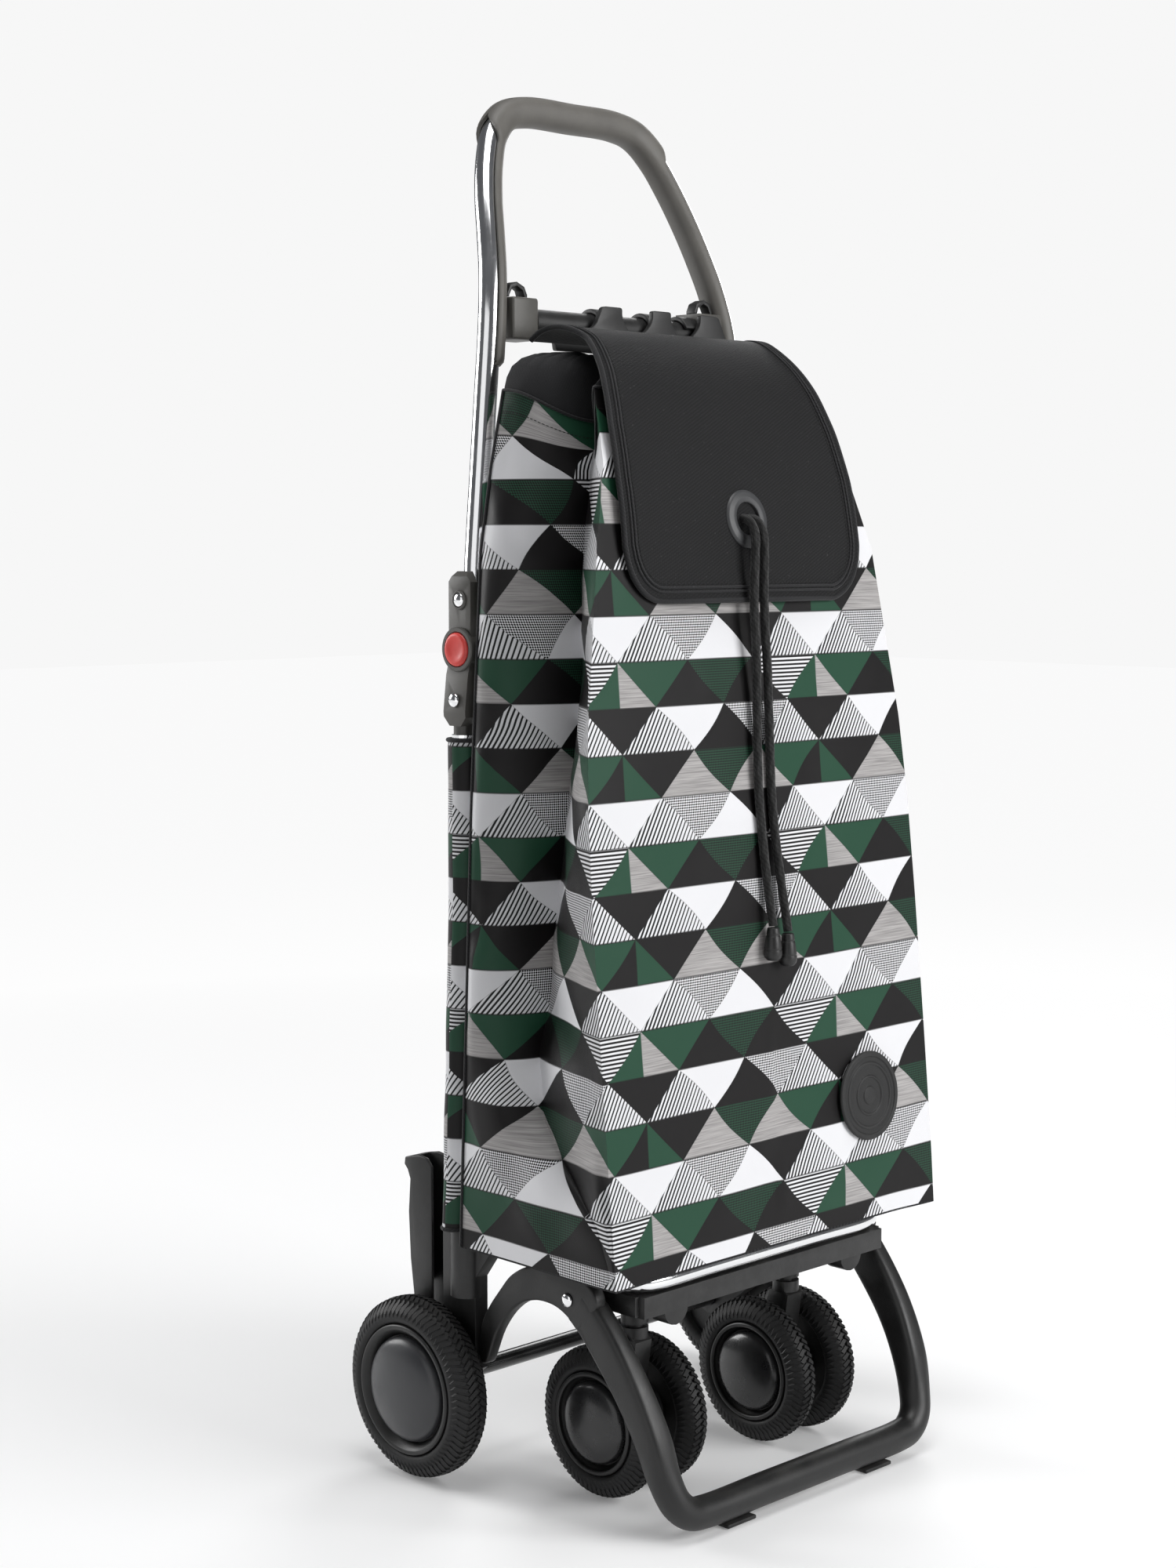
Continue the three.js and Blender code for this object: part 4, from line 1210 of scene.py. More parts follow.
def makeStand(settings):
    path = curvePoints(fromAxle(mirrored(standSide)), 260)
    r = settings["standRadius"]

    def sectionAt(i, share):
        # round along the floor, broad and flat-faced up each leg
        height = path[i][2]
        flat = ease(height, 0.03, 0.08)
        upper = ease(height, 0.06, 0.15)
        ring = []
        for k in range(40):
            a = 2 * math.pi * k / 40
            c, s = math.cos(a), math.sin(a)
            square = 1 / (abs(c) ** 5 + abs(s) ** 5) ** 0.2
            size = r * (1 + flat * (square - 1) * 0.8)
            ring.append((size * c * (1 - 0.10 * flat - 0.14 * upper), size * s * (1 + 0.30 * upper)))
        return ring

    parts = [sweep("standFrame", path, sectionAt, (0, -1, 0), smoothAngle=50)]
    low, high = settings["archSpan"]
    outline = [((y + 92) / 1000, z / 1000) for y, z in archOutline]
    for name, sign in sides:
        span = sorted((sign * low, sign * high))
        arch = plate("arch_" + name, roundedProfile(outline, 0.012, 4), *span, "X", 0.0022, 40)
        parts.append(arch)
    return joinObjects("standFrame", parts)


def makeBase(settings):
    railPath = curvePoints(fromAxle(mirrored(railSide)), 200)
    tube = circle(settings["railRadius"], 28)
    rail = sweep("baseRail", railPath, lambda i, share: tube, (0, 0, 1))
    dress(rail, finishes["chrome"], "base", "chrome", "base_rail")
    dress(makeStand(settings), finishes["black"], "base", "black_plastic", "stand_frame")
    bevel = settings["plasticBevel"]
    member = cadCopy("frontCrossMember", "front_cross_member", bevel, 3)
    dress(member, finishes["black"], "base", "black_plastic", "front_cross_member")
    for name, sign in sides:
        leg = cadCopy("rearLeg_" + name, "rear_leg_" + name, bevel, 3)
        dress(leg, finishes["black"], "frame", "black_plastic", "rear_leg_" + name)
        skid = cadCopy("rearSkid_" + name, "rear_skid_" + name, 0.0010, 3)
        dress(skid, finishes["black"], "frame", "black_plastic", "rear_skid_" + name)
        pivot = makeRivet("basePivot_" + name, *settings["pivot"], sign)
        dress(pivot, finishes["chrome"], "base", "chrome", "base_pivot_" + name)
        rivet = makeRivet("standRivet_" + name, *settings["rivet"], sign)
        dress(rivet, finishes["chrome"], "base", "chrome", "stand_rivet_" + name)
        foot = cadCopy("standFoot_" + name, "stand_foot_" + name, 0.0009, 3)
        dress(foot, finishes["tyre"], "base", "tyre_rubber", "stand_foot_" + name)
        stem = cadCopy("casterStem_" + name, "caster_stem_" + name, 0.0012, 3)
        dress(stem, finishes["black"], "caster_" + name, "black_plastic", "caster_stem_" + name)


makeBase(baseSettings)
print("undercarriage made")

# bag

clothThickness = 0.0009
bagSettings = {
    # height, front y, half width, crease x and y, back y
    "levels": (
        (0.197, -0.1310, 0.1885, 0.1885, -0.128, 0.040),
        (0.239, -0.1275, 0.1890, 0.1860, -0.112, 0.040),
        (0.304, -0.1215, 0.1890, 0.1640, -0.028, 0.040),
        (0.345, -0.1177, 0.1890, 0.1500, -0.010, 0.040),
        (0.455, -0.1075, 0.1880, 0.1280, -0.008, 0.040),
        (0.535, -0.1000, 0.1860, 0.1220, -0.018, 0.040),
        (0.600, -0.0940, 0.1810, 0.1160, -0.020, 0.039),
        (0.737, -0.0813, 0.1590, 0.1080, -0.024, 0.038),
        (0.800, -0.0690, 0.1400, 0.1040, -0.025, 0.037),
        (0.858, -0.0460, 0.1270, 0.0960, -0.020, 0.036),
    ),
    # height and x of the side's rear edge
    "rearEdge": ((0.197, 0.190), (0.596, 0.175), (0.735, 0.168), (0.800, 0.158), (0.858, 0.146)),
    "rows": 120,
    # points across half the front, from the corner to the crease, on to the rear edge, and behind
    "counts": (34, 16, 30, 22),
    "wrinkle": 0.0068,
    "mouthDip": 0.024,
    "collarGathers": 34,
}


def bagHalfRing(z, settings):
    levels = settings["levels"]
    heights = [row[0] for row in levels]
    frontY, half, creaseX, creaseY, backY = (
        float(np.interp(z, heights, [row[k] for row in levels])) for k in range(1, 6)
    )
    rear = fromTable(z, settings["rearEdge"])
    frontCount, innerCount, outerCount, backCount = settings["counts"]
    puff = 0.004 * math.sin(math.pi * ease(z, 0.2, 0.86))
    ring = [(half * t, frontY - puff * (1 - t * t)) for t in np.linspace(0, 1, frontCount)]
    # the front part of the side runs in to the crease, and the rear part bulges out of it
    slack = half - creaseX
    for t in np.linspace(0, 1, innerCount + 1)[1:]:
        ring.append((half + (creaseX - half) * t + 0.10 * slack * math.sin(math.pi * t),
                     frontY + (creaseY - frontY) * t - 0.06 * slack * math.sin(math.pi * t)))
    bend = (rear + 0.10 * slack, creaseY + 0.22 * slack)
    end = (rear, backY - 0.003)
    for t in np.linspace(0, 1, outerCount + 1)[1:]:
        a, b, c = (1 - t) ** 2, 2 * t * (1 - t), t * t
        ring.append((a * creaseX + b * bend[0] + c * end[0], a * creaseY + b * bend[1] + c * end[1]))
    return ring + [(rear * (1 - t), backY) for t in np.linspace(0.02, 1, backCount)]


def clothWave(point, size, seed):
    # a smooth random value between -1 and 1 that changes over about size
    return noise.noise(Vector([c / size for c in point]) + Vector((seed, seed, seed)))


def makeBagShell(settings):
    low, high = settings["levels"][0][0], settings["levels"][-1][0]
    heights = np.linspace(low, high, settings["rows"])
    rings = []
    for z in heights:
        half = bagHalfRing(z, settings)
        rings.append((half, half + [(-x, y) for x, y in half[-2:0:-1]]))
    halfCount, count = len(rings[0][0]), len(rings[0][1])
    corner = settings["counts"][0] - 1
    crease = corner + settings["counts"][1]
    rear = crease + settings["counts"][2]
    vertices, faces, uvs = [], [], []
    for z, (half, ring) in zip(heights, rings):
        for k, (x, y) in enumerate(ring):
            mirror = min(k, count - k)
            nearCrease = ease(mirror, corner, crease) * (1 - ease(mirror, crease, rear))
            dip = settings["mouthDip"] * nearCrease * ease(z, 0.79, 0.858)
            free = ease(abs(mirror - corner), 0, 5) * ease(z, 0.2, 0.235)
            free *= 1 - 0.6 * ease(z, 0.835, 0.858)
            free *= 0.1 if mirror > rear else 1 - ease(mirror, rear - 4, rear)
            size = settings["wrinkle"] * (1.0 if mirror > corner else 0.30)
            side = 1 if k <= count / 2 else 2
            slow = clothWave((x, y, 0.62 * z + 0.5 * y), 0.060, 3.1 * side)
            creased = 1 - 2.4 * abs(clothWave((x, y * 0.7, 1.3 * z - 0.8 * y), 0.085, 7.7 * side))
            push = size * free * (0.9 * slow + 0.45 * creased)
            inward = Vector((x, y + 0.03, 0)).normalized()
            droop = ease(abs(x), 0.13, 0.19) * (1 - ease(z, 0.197, 0.26)) * (1 - ease(y, -0.13, 0.0))
            place = Vector((x, y, z - dip - 0.0015 * droop)) + inward * push
            if mirror <= corner + 1:
                place.y = max(place.y, frontYAt(z, settings) - 0.006)
            vertices.append(place)
    for i in range(len(heights) - 1):
        lower, upper = (lengthsAlong(np.array(half)) for half, _ in (rings[i], rings[i + 1]))
        for k in range(count):
            faces.append(ringFace(i, k, count))
            if k < halfCount - 1:
                u0, u1, w0, w1 = lower[k], lower[k + 1], upper[k], upper[k + 1]
            else:
                a, b = count - k, count - k - 1
                u0, u1, w0, w1 = -lower[a], -lower[b], -upper[a], -upper[b]
            uvs.append(((u0, heights[i]), (u1, heights[i]), (w1, heights[i + 1]), (w0, heights[i + 1])))
    shell = makeObject("bagBody", vertices, faces, uvs, 180)
    outwards(shell, 50)
    return shell, count, len(heights)


def frontYAt(z, settings):
    levels = settings["levels"]
    return float(np.interp(z, [row[0] for row in levels], [row[1] for row in levels]))


def bagLine(shell, count, rowCount, column):
    return [shell.data.vertices[i * count + column].co.copy() for i in range(rowCount)]


def tubeAlong(name, points, radius, fixed, steps=10):
    section = circle(radius, steps)
    return sweep(name, [tuple(p) for p in points], lambda i, share: section, fixed, smoothAngle=80)


def makeCollar(shell, count, rowCount, settings):
    # black lining, turned over the rim and gathered over the mouth
    top = [shell.data.vertices[(rowCount - 1) * count + k].co.copy() for k in range(count)]
    centre = Vector((0, -0.003, 0))
    # share of the way out from the middle, and of the rise from the rim to the peak
    steps = ((1.0, -6.5), (1.0, -3.0), (1.0, -1.0), (1.0, 0.0), (0.997, 0.10), (0.985, 0.35), (0.955, 0.65),
             (0.90, 0.88), (0.82, 1.0), (0.73, 1.0), (0.64, 0.93), (0.56, 0.84), (0.50, 0.70), (0.48, 0.5))
    peakAt = ((-0.050, 0.861), (-0.040, 0.866), (-0.030, 0.873), (-0.015, 0.882), (0.0, 0.886),
              (0.04, 0.886))
    dense = 3
    around = []
    for k in range(count * dense):
        around.append(top[k // dense].lerp(top[(k // dense + 1) % count], (k % dense) / dense))
    total = len(around)
    vertices, faces, uvs = [], [], []
    for j, (share, rise) in enumerate(steps):
        deep = 1 - ease(share, 0.5, 0.97)
        for k, p in enumerate(around):
            inset = 0.0024 if rise < -0.5 else 0.0009
            out = Vector((p.x - centre.x, p.y - centre.y, 0))
            length = max(out.length, 1e-4)
            phase = 2 * math.pi * settings["collarGathers"] * k / total
            fold = math.sin(phase + 1.3 * math.sin(phase / 7)) + 0.3 * math.sin(2.3 * phase)
            radial = length * share - inset + 0.0022 * fold * deep
            point = centre + out * (radial / length)
            peak = fromTable(point.y, peakAt)
            height = p.z + (peak - p.z) * rise if rise >= 0 else p.z + 0.024 * rise
            vertices.append((point.x, point.y, height + fold * 0.0030 * deep))
    for j in range(len(steps) - 1):
        for k in range(total):
            faces.append(ringFace(j, k, total))
            u0, u1 = k * 0.0023, (k + 1) * 0.0023
            uvs.append(((u0, j * 0.02), (u1, j * 0.02), (u1, (j + 1) * 0.02), (u0, (j + 1) * 0.02)))
    collar = makeObject("bagCollar", vertices, faces, uvs, 180)
    return bake(withWall(collar, 0.0006), 60)


def makeBottom(shell, count):
    ring = [shell.data.vertices[k].co.copy() for k in range(count)]
    vertices, faces, uvs = [], [], []
    shares = (1.0, 0.97, 0.9, 0.75, 0.5, 0.25)
    for j, share in enumerate(shares):
        for p in ring:
            x, y = p.x * share, (p.y + 0.045) * share - 0.045
            z = p.z + 0.003 * (1 - share)
            vertices.append((x, y, z))
    for j in range(len(shares) - 1):
        for k in range(count):
            n = (k + 1) % count
            faces.append((j * count + k, (j + 1) * count + k, (j + 1) * count + n, j * count + n))
            corner = [vertices[i] for i in faces[-1]]
            uvs.append(tuple((c[0], c[1]) for c in corner))
    last = (len(shares) - 1) * count
    faces.append(tuple(last + k for k in range(count)))
    uvs.append(tuple((vertices[last + k][0], vertices[last + k][1]) for k in range(count)))
    bottom = makeObject("bagBottom", vertices, faces, uvs, 60)
    return bake(withWall(bottom, 0.0015), 50)


def makeBag(settings):
    shell, count, rowCount = makeBagShell(settings)
    rearColumn = sum(settings["counts"][:3]) - 1
    pieces = []
    for (name, sign), column in zip(sides[::-1], (rearColumn, count - rearColumn)):
        line = bagLine(shell, count, rowCount, column)
        seam = tubeAlong("rearSeam_" + name, line, 0.0014, (0, -1, 0))
        pieces.append(dress(seam, finishes["binding"], "frame", "black_fabric"))
    rim = [shell.data.vertices[(rowCount - 1) * count + k].co.copy() for k in range(count)]
    hem = tubeAlong("mouthHem", rim + rim[:1], 0.0013, (0, 0, 1))
    pieces.append(dress(hem, finishes["binding"], "frame", "black_fabric"))
    line = [shell.data.vertices[(rowCount - 4) * count + k].co.copy() for k in range(count)]
    stitches = stitchLine("mouthStitches", line, finishes["thread"], closed=True)
    pieces.append(dress(stitches, None, "frame", "black_fabric"))
    bottom = makeBottom(shell, count)
    pieces.append(dress(bottom, finishes["lining"], "frame", "black_fabric"))
    collar = makeCollar(shell, count, rowCount, settings)
    pieces.append(dress(collar, finishes["lining"], "frame", "black_fabric"))
    bake(withWall(shell, clothThickness, -1), 50)
    pieces.append(dress(shell, finishes["print"], "frame", "printed_fabric", "bag_body"))
    return pieces


bagPieces = makeBag(bagSettings)
print("bag made")

sleeveSettings = {
    "centre": (0.167, 0.0560),
    "span": (0.207, 0.590),
    "radius": 0.0130,
    "rows": 80,
    "steps": 44,
}


def makeSleeves(settings):
    # printed cloth wrapped round each lower tube and joined to the bag's rear edge
    low, high = settings["span"]
    cx, cy = settings["centre"]
    made = []
    for name, sign in sides:
        vertices, faces, uvs = [], [], []
        for i in range(settings["rows"]):
            z = low + (high - low) * i / (settings["rows"] - 1)
            edge = fromTable(z, bagSettings["rearEdge"])
            for k in range(settings["steps"]):
                a = 2 * math.pi * k / settings["steps"]
                c, s = math.cos(a), math.sin(a)
                reach = settings["radius"]
                outer = max(0.0, c) * max(0.0, edge - cx - reach)
                x = cx + reach * c + outer
                y = cy + reach * s * (1.0 if s > 0 else 1.15)
                wave = clothWave((x, y, z * 0.6), 0.028, 5.0 + sign)
                grow = 1 + 0.05 * wave
                vertices.append((sign * (cx + (x - cx) * grow), cy + (y - cy) * grow, z))
        steps = settings["steps"]
        for i in range(settings["rows"] - 1):
            for k in range(steps):
                faces.append(ringFace(i, k, steps))
                u0, u1 = 0.31 + k * 0.0019, 0.31 + (k + 1) * 0.0019
                z0, z1 = vertices[i * steps][2], vertices[(i + 1) * steps][2]
                uvs.append(tuple((sign * u, v) for u, v in ((u0, z0), (u1, z0), (u1, z1), (u0, z1))))
        sleeve = makeObject("bagSleeve_" + name, vertices, faces, uvs, 180)
        outwards(sleeve, 60)
        tops = [Vector(v) for v in vertices[-steps:]]
        bottoms = [Vector(v) for v in vertices[:steps]]
        bake(withWall(sleeve, clothThickness, -1), 60)
        made.append(dress(sleeve, finishes["print"], "frame", "printed_fabric"))
        for label, line in (("Top", tops), ("Bottom", bottoms)):
            hem = tubeAlong("sleeve%sPiping_%s" % (label, name), line + line[:1], 0.0016, (0, 0, 1))
            made.append(dress(hem, finishes["binding"], "frame", "black_fabric"))
    return made


makeSleeves(sleeveSettings)
board = cadCopy("bagBaseBoard", "bag_base_board", 0.0008, 2)
bagPieces.append(dress(board, finishes["black"], "frame", "black_plastic", "bag_base_board"))

# hanger and badge

hangerSettings = {
    "tabs": (0.099, 0.042, -0.015),
    "tabHalf": 0.0105,
    "strip": (0.892, 0.9065),
    "top": 0.9300,
    "thick": (0.0450, 0.0497),
}


def makeHanger(settings):
    low, high = settings["strip"]
    top, half = settings["top"], settings["tabHalf"]
    tabs = settings["tabs"]
    outline = [(-0.078, low), (0.118, low), (0.1225, high)]
    for i, x in enumerate(tabs):
        outline += [(x + half + 0.0005, top), (x - half - 0.0005, top)]
        if i + 1 < len(tabs):
            middle = 0.5 * (x + tabs[i + 1])
            reach = x - half - middle
            for k in range(1, 20):
                a = math.pi * k / 20
                outline.append((middle + reach * math.cos(a) ** 3 * 0.35 + 0.65 * reach * math.cos(a),
                                top - (top - high - 0.002) * math.sin(a) ** 0.7))
    outline += [(-0.034, high + 0.008), (-0.046, high + 0.001), (-0.080, high - 0.004)]
    radii = [0.002, 0.004, 0.004] + [0.0035] * (len(outline) - 3)
    strip = plate("strip", roundedProfile(outline, radii, 3), *settings["thick"], "Y", 0.0014, 40)
    parts = [strip]
    barY, barZ = handleSettings["crossBar"][0] + axleY / 1000, handleSettings["crossBar"][1]
    inner, outer = 0.0116, 0.0152
    for x in tabs:
        angles = np.linspace(math.radians(160), math.radians(10), 18)
        hook = [(barY + outer * math.cos(a), barZ + outer * math.sin(a)) for a in angles]
        hook += [(barY + inner * math.cos(a), barZ + inner * math.sin(a)) for a in angles[::-1]]
        # the tab nearest the clamp hooks over the bar beside it
        shift = -0.014 if x > 0.09 else 0
        low, high = x + shift - half + 0.002, x + shift + half - 0.002
        parts.append(plate("hook", hook, low, high, "X", 0.0009, 40))
    return joinObjects("bagHanger", parts)


dress(makeHanger(hangerSettings), finishes["hanger"], "frame", "black_plastic", "bag_hanger")

badgeSettings = {
    "centre": (0.108, 0.296),
    "radius": 0.036,
    "thickness": 0.0032,
    "sunk": 0.0022,
    "lean": math.atan2(0.050, 0.537),
}


def leanAt(obj, centre, angle):
    # turns a round piece back about the X axis and puts it in its place
    c, s = math.cos(angle), math.sin(angle)
    for v in obj.data.vertices:
        x, y, z = v.co
        v.co = (centre[0] + x, centre[1] + y * c + z * s, centre[2] + z * c - y * s)
    return obj


def makeBadge(settings):
    r, t = settings["radius"], settings["thickness"]
    profile = [(0, 0), (r - 0.001, 0), (r, 0.001), (r, t - 0.0012), (r - 0.001, t), (r - 0.0042, t)]
    profile += [(r - 0.0050, t - 0.0012), (r - 0.0085, t - 0.0012), (r - 0.0092, t - 0.0003)]
    profile += [(r - 0.0108, t - 0.0003)]
    profile += [(r - 0.0115, t - 0.0013), (0.0165, t - 0.0013), (0.0160, t - 0.0004), (0.0148, t - 0.0004)]
    profile += [(0.0142, t - 0.0014), (0.0075, t - 0.0014), (0.0070, t - 0.0005), (0, t - 0.0002)]
    badge = turned("bagBadge", roundedProfile(profile, 0.0005, 2, False), 96, (0, 0, 0), "Y", -1, 50)
    x, z = settings["centre"]
    y = frontYAt(z, bagSettings) - settings["sunk"]
    return leanAt(badge, (x, y, z), settings["lean"])


badge = dress(makeBadge(badgeSettings), finishes["badge"], "frame", "badge_rubber", "bag_badge")
bagPieces.append(badge)
print("hanger and badge made")

# lid and drawstring

flapSettings = {
    "line": (
        (-60, 897), (-70, 903.5), (-82, 906), (-97, 904), (-112, 897), (-127, 884), (-140, 867),
        (-153, 840), (-164, 810), (-172, 782), (-179, 745), (-184.5, 698),
    ),
    # height and half width of the front, in millimetres
    "width": ((697, 92), (697.6, 99), (699.5, 106.5), (703, 114), (709, 121.5), (717, 127.5), (727, 131.8),
              (739, 134), (790, 133),
              (830, 128.5), (860, 122), (880, 116), (897, 110)),
    "rearHalf": 118,
    "thickness": 0.0024,
    "rows": 90,
    "columns": 56,
    "eyelet": (-0.0852, 0.760, 0.023, 0.013),  # y, z, outer and inner radius
    "eyeletLean": math.atan2(7, 37),
}


def makeFlap(settings):
    line = curvePoints(fromAxle([(0, y, z) for y, z in settings["line"]]), 400)
    share = 1 - (1 - np.linspace(0, 1, settings["rows"])) ** 1.6
    places = line[(share * 399).astype(int)]
    along = lengthsAlong(places)
    halves = []
    for p in places:
        if p[1] > -0.020:
            halves.append((settings["rearHalf"] - (0.032 - p[1]) / 0.052 * 8) / 1000)
        else:
            halves.append(fromTable(p[2] * 1000, settings["width"]) / 1000)
    columns = settings["columns"]
    eyeZ = settings["eyelet"][1]
    vertices, faces, uvs = [], [], []
    for i, p in enumerate(places):
        for k in range(columns + 1):
            t = 2 * k / columns - 1
            x = halves[i] * t
            free = ease(i / len(places), 0.25, 1.0)
            lift = 0.0026 * clothWave((x, along[i] * 0.7, 0), 0.07, 2.3) * free
            curl = -0.0035 * abs(t) ** 3 * free
            nearEye = ease(math.hypot(x, p[2] - eyeZ), 0.022, 0.045) if p[1] < -0.05 else 1.0
            vertices.append((x, p[1] - (lift + curl) * nearEye, p[2]))
    for i in range(len(places) - 1):
        for k in range(columns):
            near, far = i * (columns + 1) + k, (i + 1) * (columns + 1) + k
            corners = (near, near + 1, far + 1, far)
            faces.append(corners)
            uvs.append(tuple((vertices[c][0], along[c // (columns + 1)]) for c in corners))
    flap = makeObject("bagFlap", vertices, faces, uvs, 180)
    points = [Vector(v) for v in vertices]
    grid = [points[i * (columns + 1):(i + 1) * (columns + 1)] for i in range(len(places))]
    bake(withWall(flap, settings["thickness"]), 50)
    outwards(flap, 50)
    return flap, grid, along, halves


def flapOutline(grid, along, halves, inset):
    # a line round the flap's two sides and front, moved in from the edge on the flat cloth
    cut = [(-h, s) for h, s in zip(halves, along)]
    reach = halves[-1]
    cut += [(x, along[-1]) for x in np.linspace(-reach, reach, 30)[1:-1]]
    cut += [(h, s) for h, s in zip(halves[::-1], along[::-1])]
    cut = np.array(cut)
    way = np.gradient(cut, axis=0)
    way /= np.linalg.norm(way, axis=1)[:, None]
    cut = cut + inset * np.stack([way[:, 1], -way[:, 0]], 1)
    columns = len(grid[0]) - 1
    line = []
    for x, s in cut:
        s = min(max(s, 0), along[-1])
        i = min(len(along) - 2, int(np.searchsorted(along, s, "right")) - 1)
        f = (s - along[i]) / (along[i + 1] - along[i])
        half = halves[i] * (1 - f) + halves[i + 1] * f
        t = min(columns - 1e-6, max(0, (x / half + 1) * 0.5 * columns))
        k = int(t)
        near, far = (grid[j][k].lerp(grid[j][k + 1], t - k) for j in (i, i + 1))
        line.append(near.lerp(far, f))
    return [Vector(p) for p in curvePoints(np.array([tuple(p) for p in line])[::2], 260)]


def makeLid(settings):
    flap, grid, along, halves = makeFlap(settings)
    dress(flap, finishes["flap"], "lid", "black_fabric", "bag_flap")
    made = [flap]
    edge = flapOutline(grid, along, halves, 0.0)
    thick = settings["thickness"]
    binding = tubeAlong("flapBinding", edge, 0.0022, (0, -1, 0.3), 12)
    made.append(dress(binding, finishes["binding"], "lid", "black_fabric"))
    for label, inset, radius in (("Outer", 0.0065, 0.0011), ("Inner", 0.0098, 0.0011)):
        line = [p + Vector((0, -0.6, 0.8 if p.z > 0.88 else 0.2)).normalized() * (0.5 * thick + 0.0002)
                for p in flapOutline(grid, along, halves, inset)]
        cordLine = tubeAlong("flapPiping" + label, line, radius, (0, -1, 0.3), 8)
        made.append(dress(cordLine, finishes["binding"], "lid", "black_fabric"))
    line = [p + Vector((0, -1, 0.3)).normalized() * (0.5 * thick + 0.0002)
            for p in flapOutline(grid, along, halves, 0.0130)]
    stitches = stitchLine("flapStitches", line, finishes["thread"])
    made.append(dress(stitches, None, "lid", "black_fabric"))
    y, z, outer, inner = settings["eyelet"]
    half = 0.0032
    profile = [(inner, -half + 0.0006), (inner + 0.0012, -half), (inner + 0.004, -half - 0.0004)]
    profile += [(outer - 0.0016, -half + 0.0006), (outer, -half + 0.0020), (outer, half - 0.0020)]
    profile += [(outer - 0.0016, half - 0.0004), (inner + 0.001, half), (inner, half - 0.0010)]
    ringPiece = turned("lidEyelet", roundedProfile(profile, 0.0006, 3), 72, (0, 0, 0), "Y", 1, 50)
    leanAt(ringPiece, (0, y, z), settings["eyeletLean"])
    made.append(dress(ringPiece, finishes["eyelet"], "lid", "black_plastic", "lid_eyelet"))
    return made


lidPieces = makeLid(flapSettings)
print("lid made")

cordSettings = {
    "radius": 0.0036,
    "steps": 420,
    "braidPitch": 0.0200,
    "strands": {
        "left": [
            (-4, -170.6, 760), (-4, -176, 760.6), (-4.2, -183, 759.5), (-4.6, -188.6, 755),
            (-5, -191.6, 747),
            (-5.6, -192.2, 734), (-6, -191.8, 716), (-6, -191.6, 696), (-5, -192.2, 672), (-4, -193, 645),
            (-4.5, -194, 615), (-6, -196, 585), (-7.5, -198.6, 555), (-7.5, -201.6, 525),
            (-6.5, -205, 495), (-5.5, -209, 466), (-5, -212.5, 446),
        ],
        "right": [
            (4, -170.6, 760), (4, -176, 760.6), (4.1, -183, 759.6), (4.2, -188.8, 755), (4.4, -191.8, 747),
            (4.8, -192.4, 734), (5.2, -192, 716), (5.6, -191.8, 696), (6.5, -192.4, 672), (8, -193.4, 645),
            (8.6, -194.4, 615), (8, -196.4, 585), (7, -198.8, 555), (7.2, -201.8, 525),
            (8.6, -205.4, 495), (10.6, -209.6, 464), (11.6, -213.4, 440),
        ],
    },
}


def makeCords(settings):
    made = []
    for name, _ in sides:
        path = curvePoints(fromAxle(settings["strands"][name]), settings["steps"])
        length = float(np.linalg.norm(np.diff(path, axis=0), axis=1).sum())
        r = settings["radius"]
        turn = 2 * math.pi * length / settings["braidPitch"]

        def sectionAt(i, share):
            ring = []
            for k in range(24):
                a = 2 * math.pi * k / 24
                up, down = math.sin(4 * a + turn * share), math.sin(4 * a - turn * share)
                size = r * (0.90 + 0.10 * max(up, down))
                ring.append((size * math.cos(a), size * math.sin(a)))
            return ring

        cord = sweep("cord_%s_braid" % name, path, sectionAt, (1, 0, 0), smoothAngle=180)
        dress(cord, finishes["cord"], "frame", "cord", "cord_" + name)
        end = path[-1]
        top = -0.0012
        profile = [(0, -0.0270), (0.0046, -0.0268), (0.0066, -0.0246), (0.0072, -0.0225), (0.0072, -0.0192)]
        profile += [(0.0068, -0.0188), (0.0068, -0.0178), (0.0070, -0.0174), (0.0056, -0.0080)]
        profile += [(0.0052, -0.0076)]
        profile += [(0.0051, -0.0066), (0.0053, -0.0060), (0.0046, top - 0.0006), (0.0040, top), (0, top)]
        soft = roundedProfile(profile, 0.0004, 2, False)
        cone = turned("cordEnd_" + name, soft, 40, tuple(end), "Z", 1, 45)
        dress(cone, finishes["black"], "frame", "black_plastic", "cord_end_" + name)
        made += [cord, cone]
    return made


cordPieces = makeCords(cordSettings)
print("drawstring made")

# each bag, lid and drawstring piece gets its own copy of its mesh
for piece in bagPieces + lidPieces + cordPieces:
    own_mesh(piece)
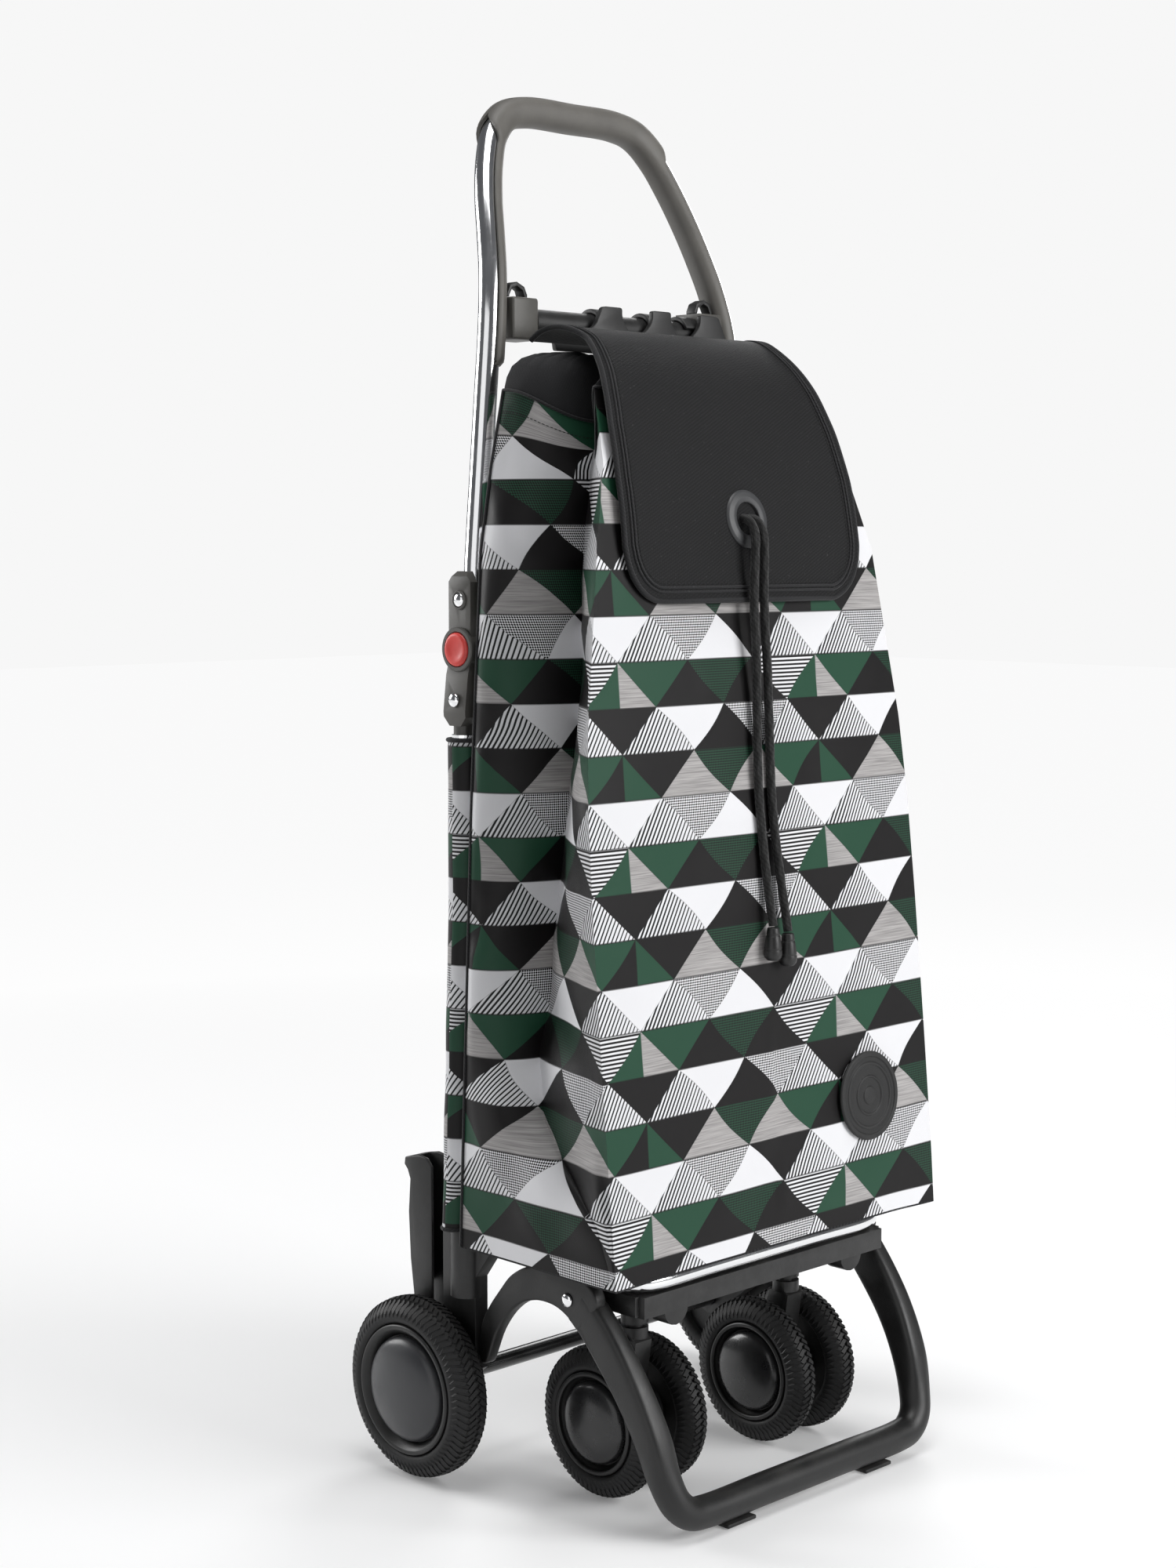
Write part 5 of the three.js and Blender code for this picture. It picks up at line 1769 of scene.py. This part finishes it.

# floor and light

studioSettings = {
    "floorReach": 12,
    "floorGlow": (0.16, 0.16, 0.16, 1),  # the light that the floor gives off near the trolley
    "floorFar": (0.05, 0.05, 0.05, 1),
    "aim": (0, 0, 0.45),
    "floorDrop": 0.0006,
    "floor": (0.80, 0.80, 0.80, 1),
    "fade": (0.5, 2.4),
    "around": (0.10, 0.102, 0.108, 1),
    "backdrop": (0.93, 0.93, 0.93, 1),
    "lights": (
        # place, size and watts of each softbox
        ((0.9, -2.6, 1.5), 1.7, 70),
        ((-1.15, 2.6, 1.4), 1.4, 48),
        ((-0.3, -0.3, 3.0), 1.6, 36),
        ((2.3, 1.2, 1.8), 1.4, 26),
        ((-2.6, -0.9, 1.1), 2.2, 13),
    ),
    "cardFrom": 4,  # the lights from this one on show in reflections only
}


def makeStudio(settings):
    reach, drop = settings["floorReach"], settings["floorDrop"]
    corners = [(x * reach, y * reach, -drop) for x, y in ((-1, -1), (1, -1), (1, 1), (-1, 1))]
    floor = makeObject("floor", corners, [(0, 1, 2, 3)])
    material, g, surface, place = newMaterial(
        "pale floor", {"Base Color": settings["floor"], "Roughness": 0.6, "Emission Strength": 1.0}
    )
    # the floor lightens into the backdrop away from the object
    away = g.node("ShaderNodeVectorMath", operation="LENGTH")
    g.link(place.outputs["Object"], away.inputs[0])
    share = g.spread(away.outputs["Value"], *settings["fade"])
    rays = g.node("ShaderNodeLightPath")
    seen = g.math("MAXIMUM", rays.outputs["Is Camera Ray"], rays.outputs["Is Glossy Ray"])
    glow = g.times(share, seen)
    g.link(g.mix(glow, settings["floorGlow"], settings["backdrop"]), surface.inputs["Emission Color"])
    g.link(g.mix(share, settings["floor"], settings["floorFar"]), surface.inputs["Base Color"])
    floor.data.materials.append(material)
    for i, (place, size, watts) in enumerate(settings["lights"]):
        data = bpy.data.lights.new("softbox%d" % i, "AREA")
        data.shape = "SQUARE"
        data.size = size
        data.energy = watts
        lamp = addObject("softbox%d" % i, data)
        lamp.location = place
        lamp.rotation_mode = "QUATERNION"
        lamp.visible_diffuse = i < settings["cardFrom"]
        aim = Vector(settings["aim"]) - Vector(place)
        lamp.rotation_quaternion = aim.to_track_quat("-Z", "Y")
    world = bpy.data.worlds.new("studio")
    world.use_nodes = True
    back = next(n for n in world.node_tree.nodes if n.type == "BACKGROUND")
    g = Graph(world.node_tree)
    seen = g.node("ShaderNodeLightPath").outputs["Is Camera Ray"]
    g.link(g.mix(seen, settings["around"], settings["backdrop"]), back.inputs["Color"])
    bpy.context.scene.world = world
    bpy.context.scene.view_settings.view_transform = "Standard"


makeStudio(studioSettings)
print("ready")
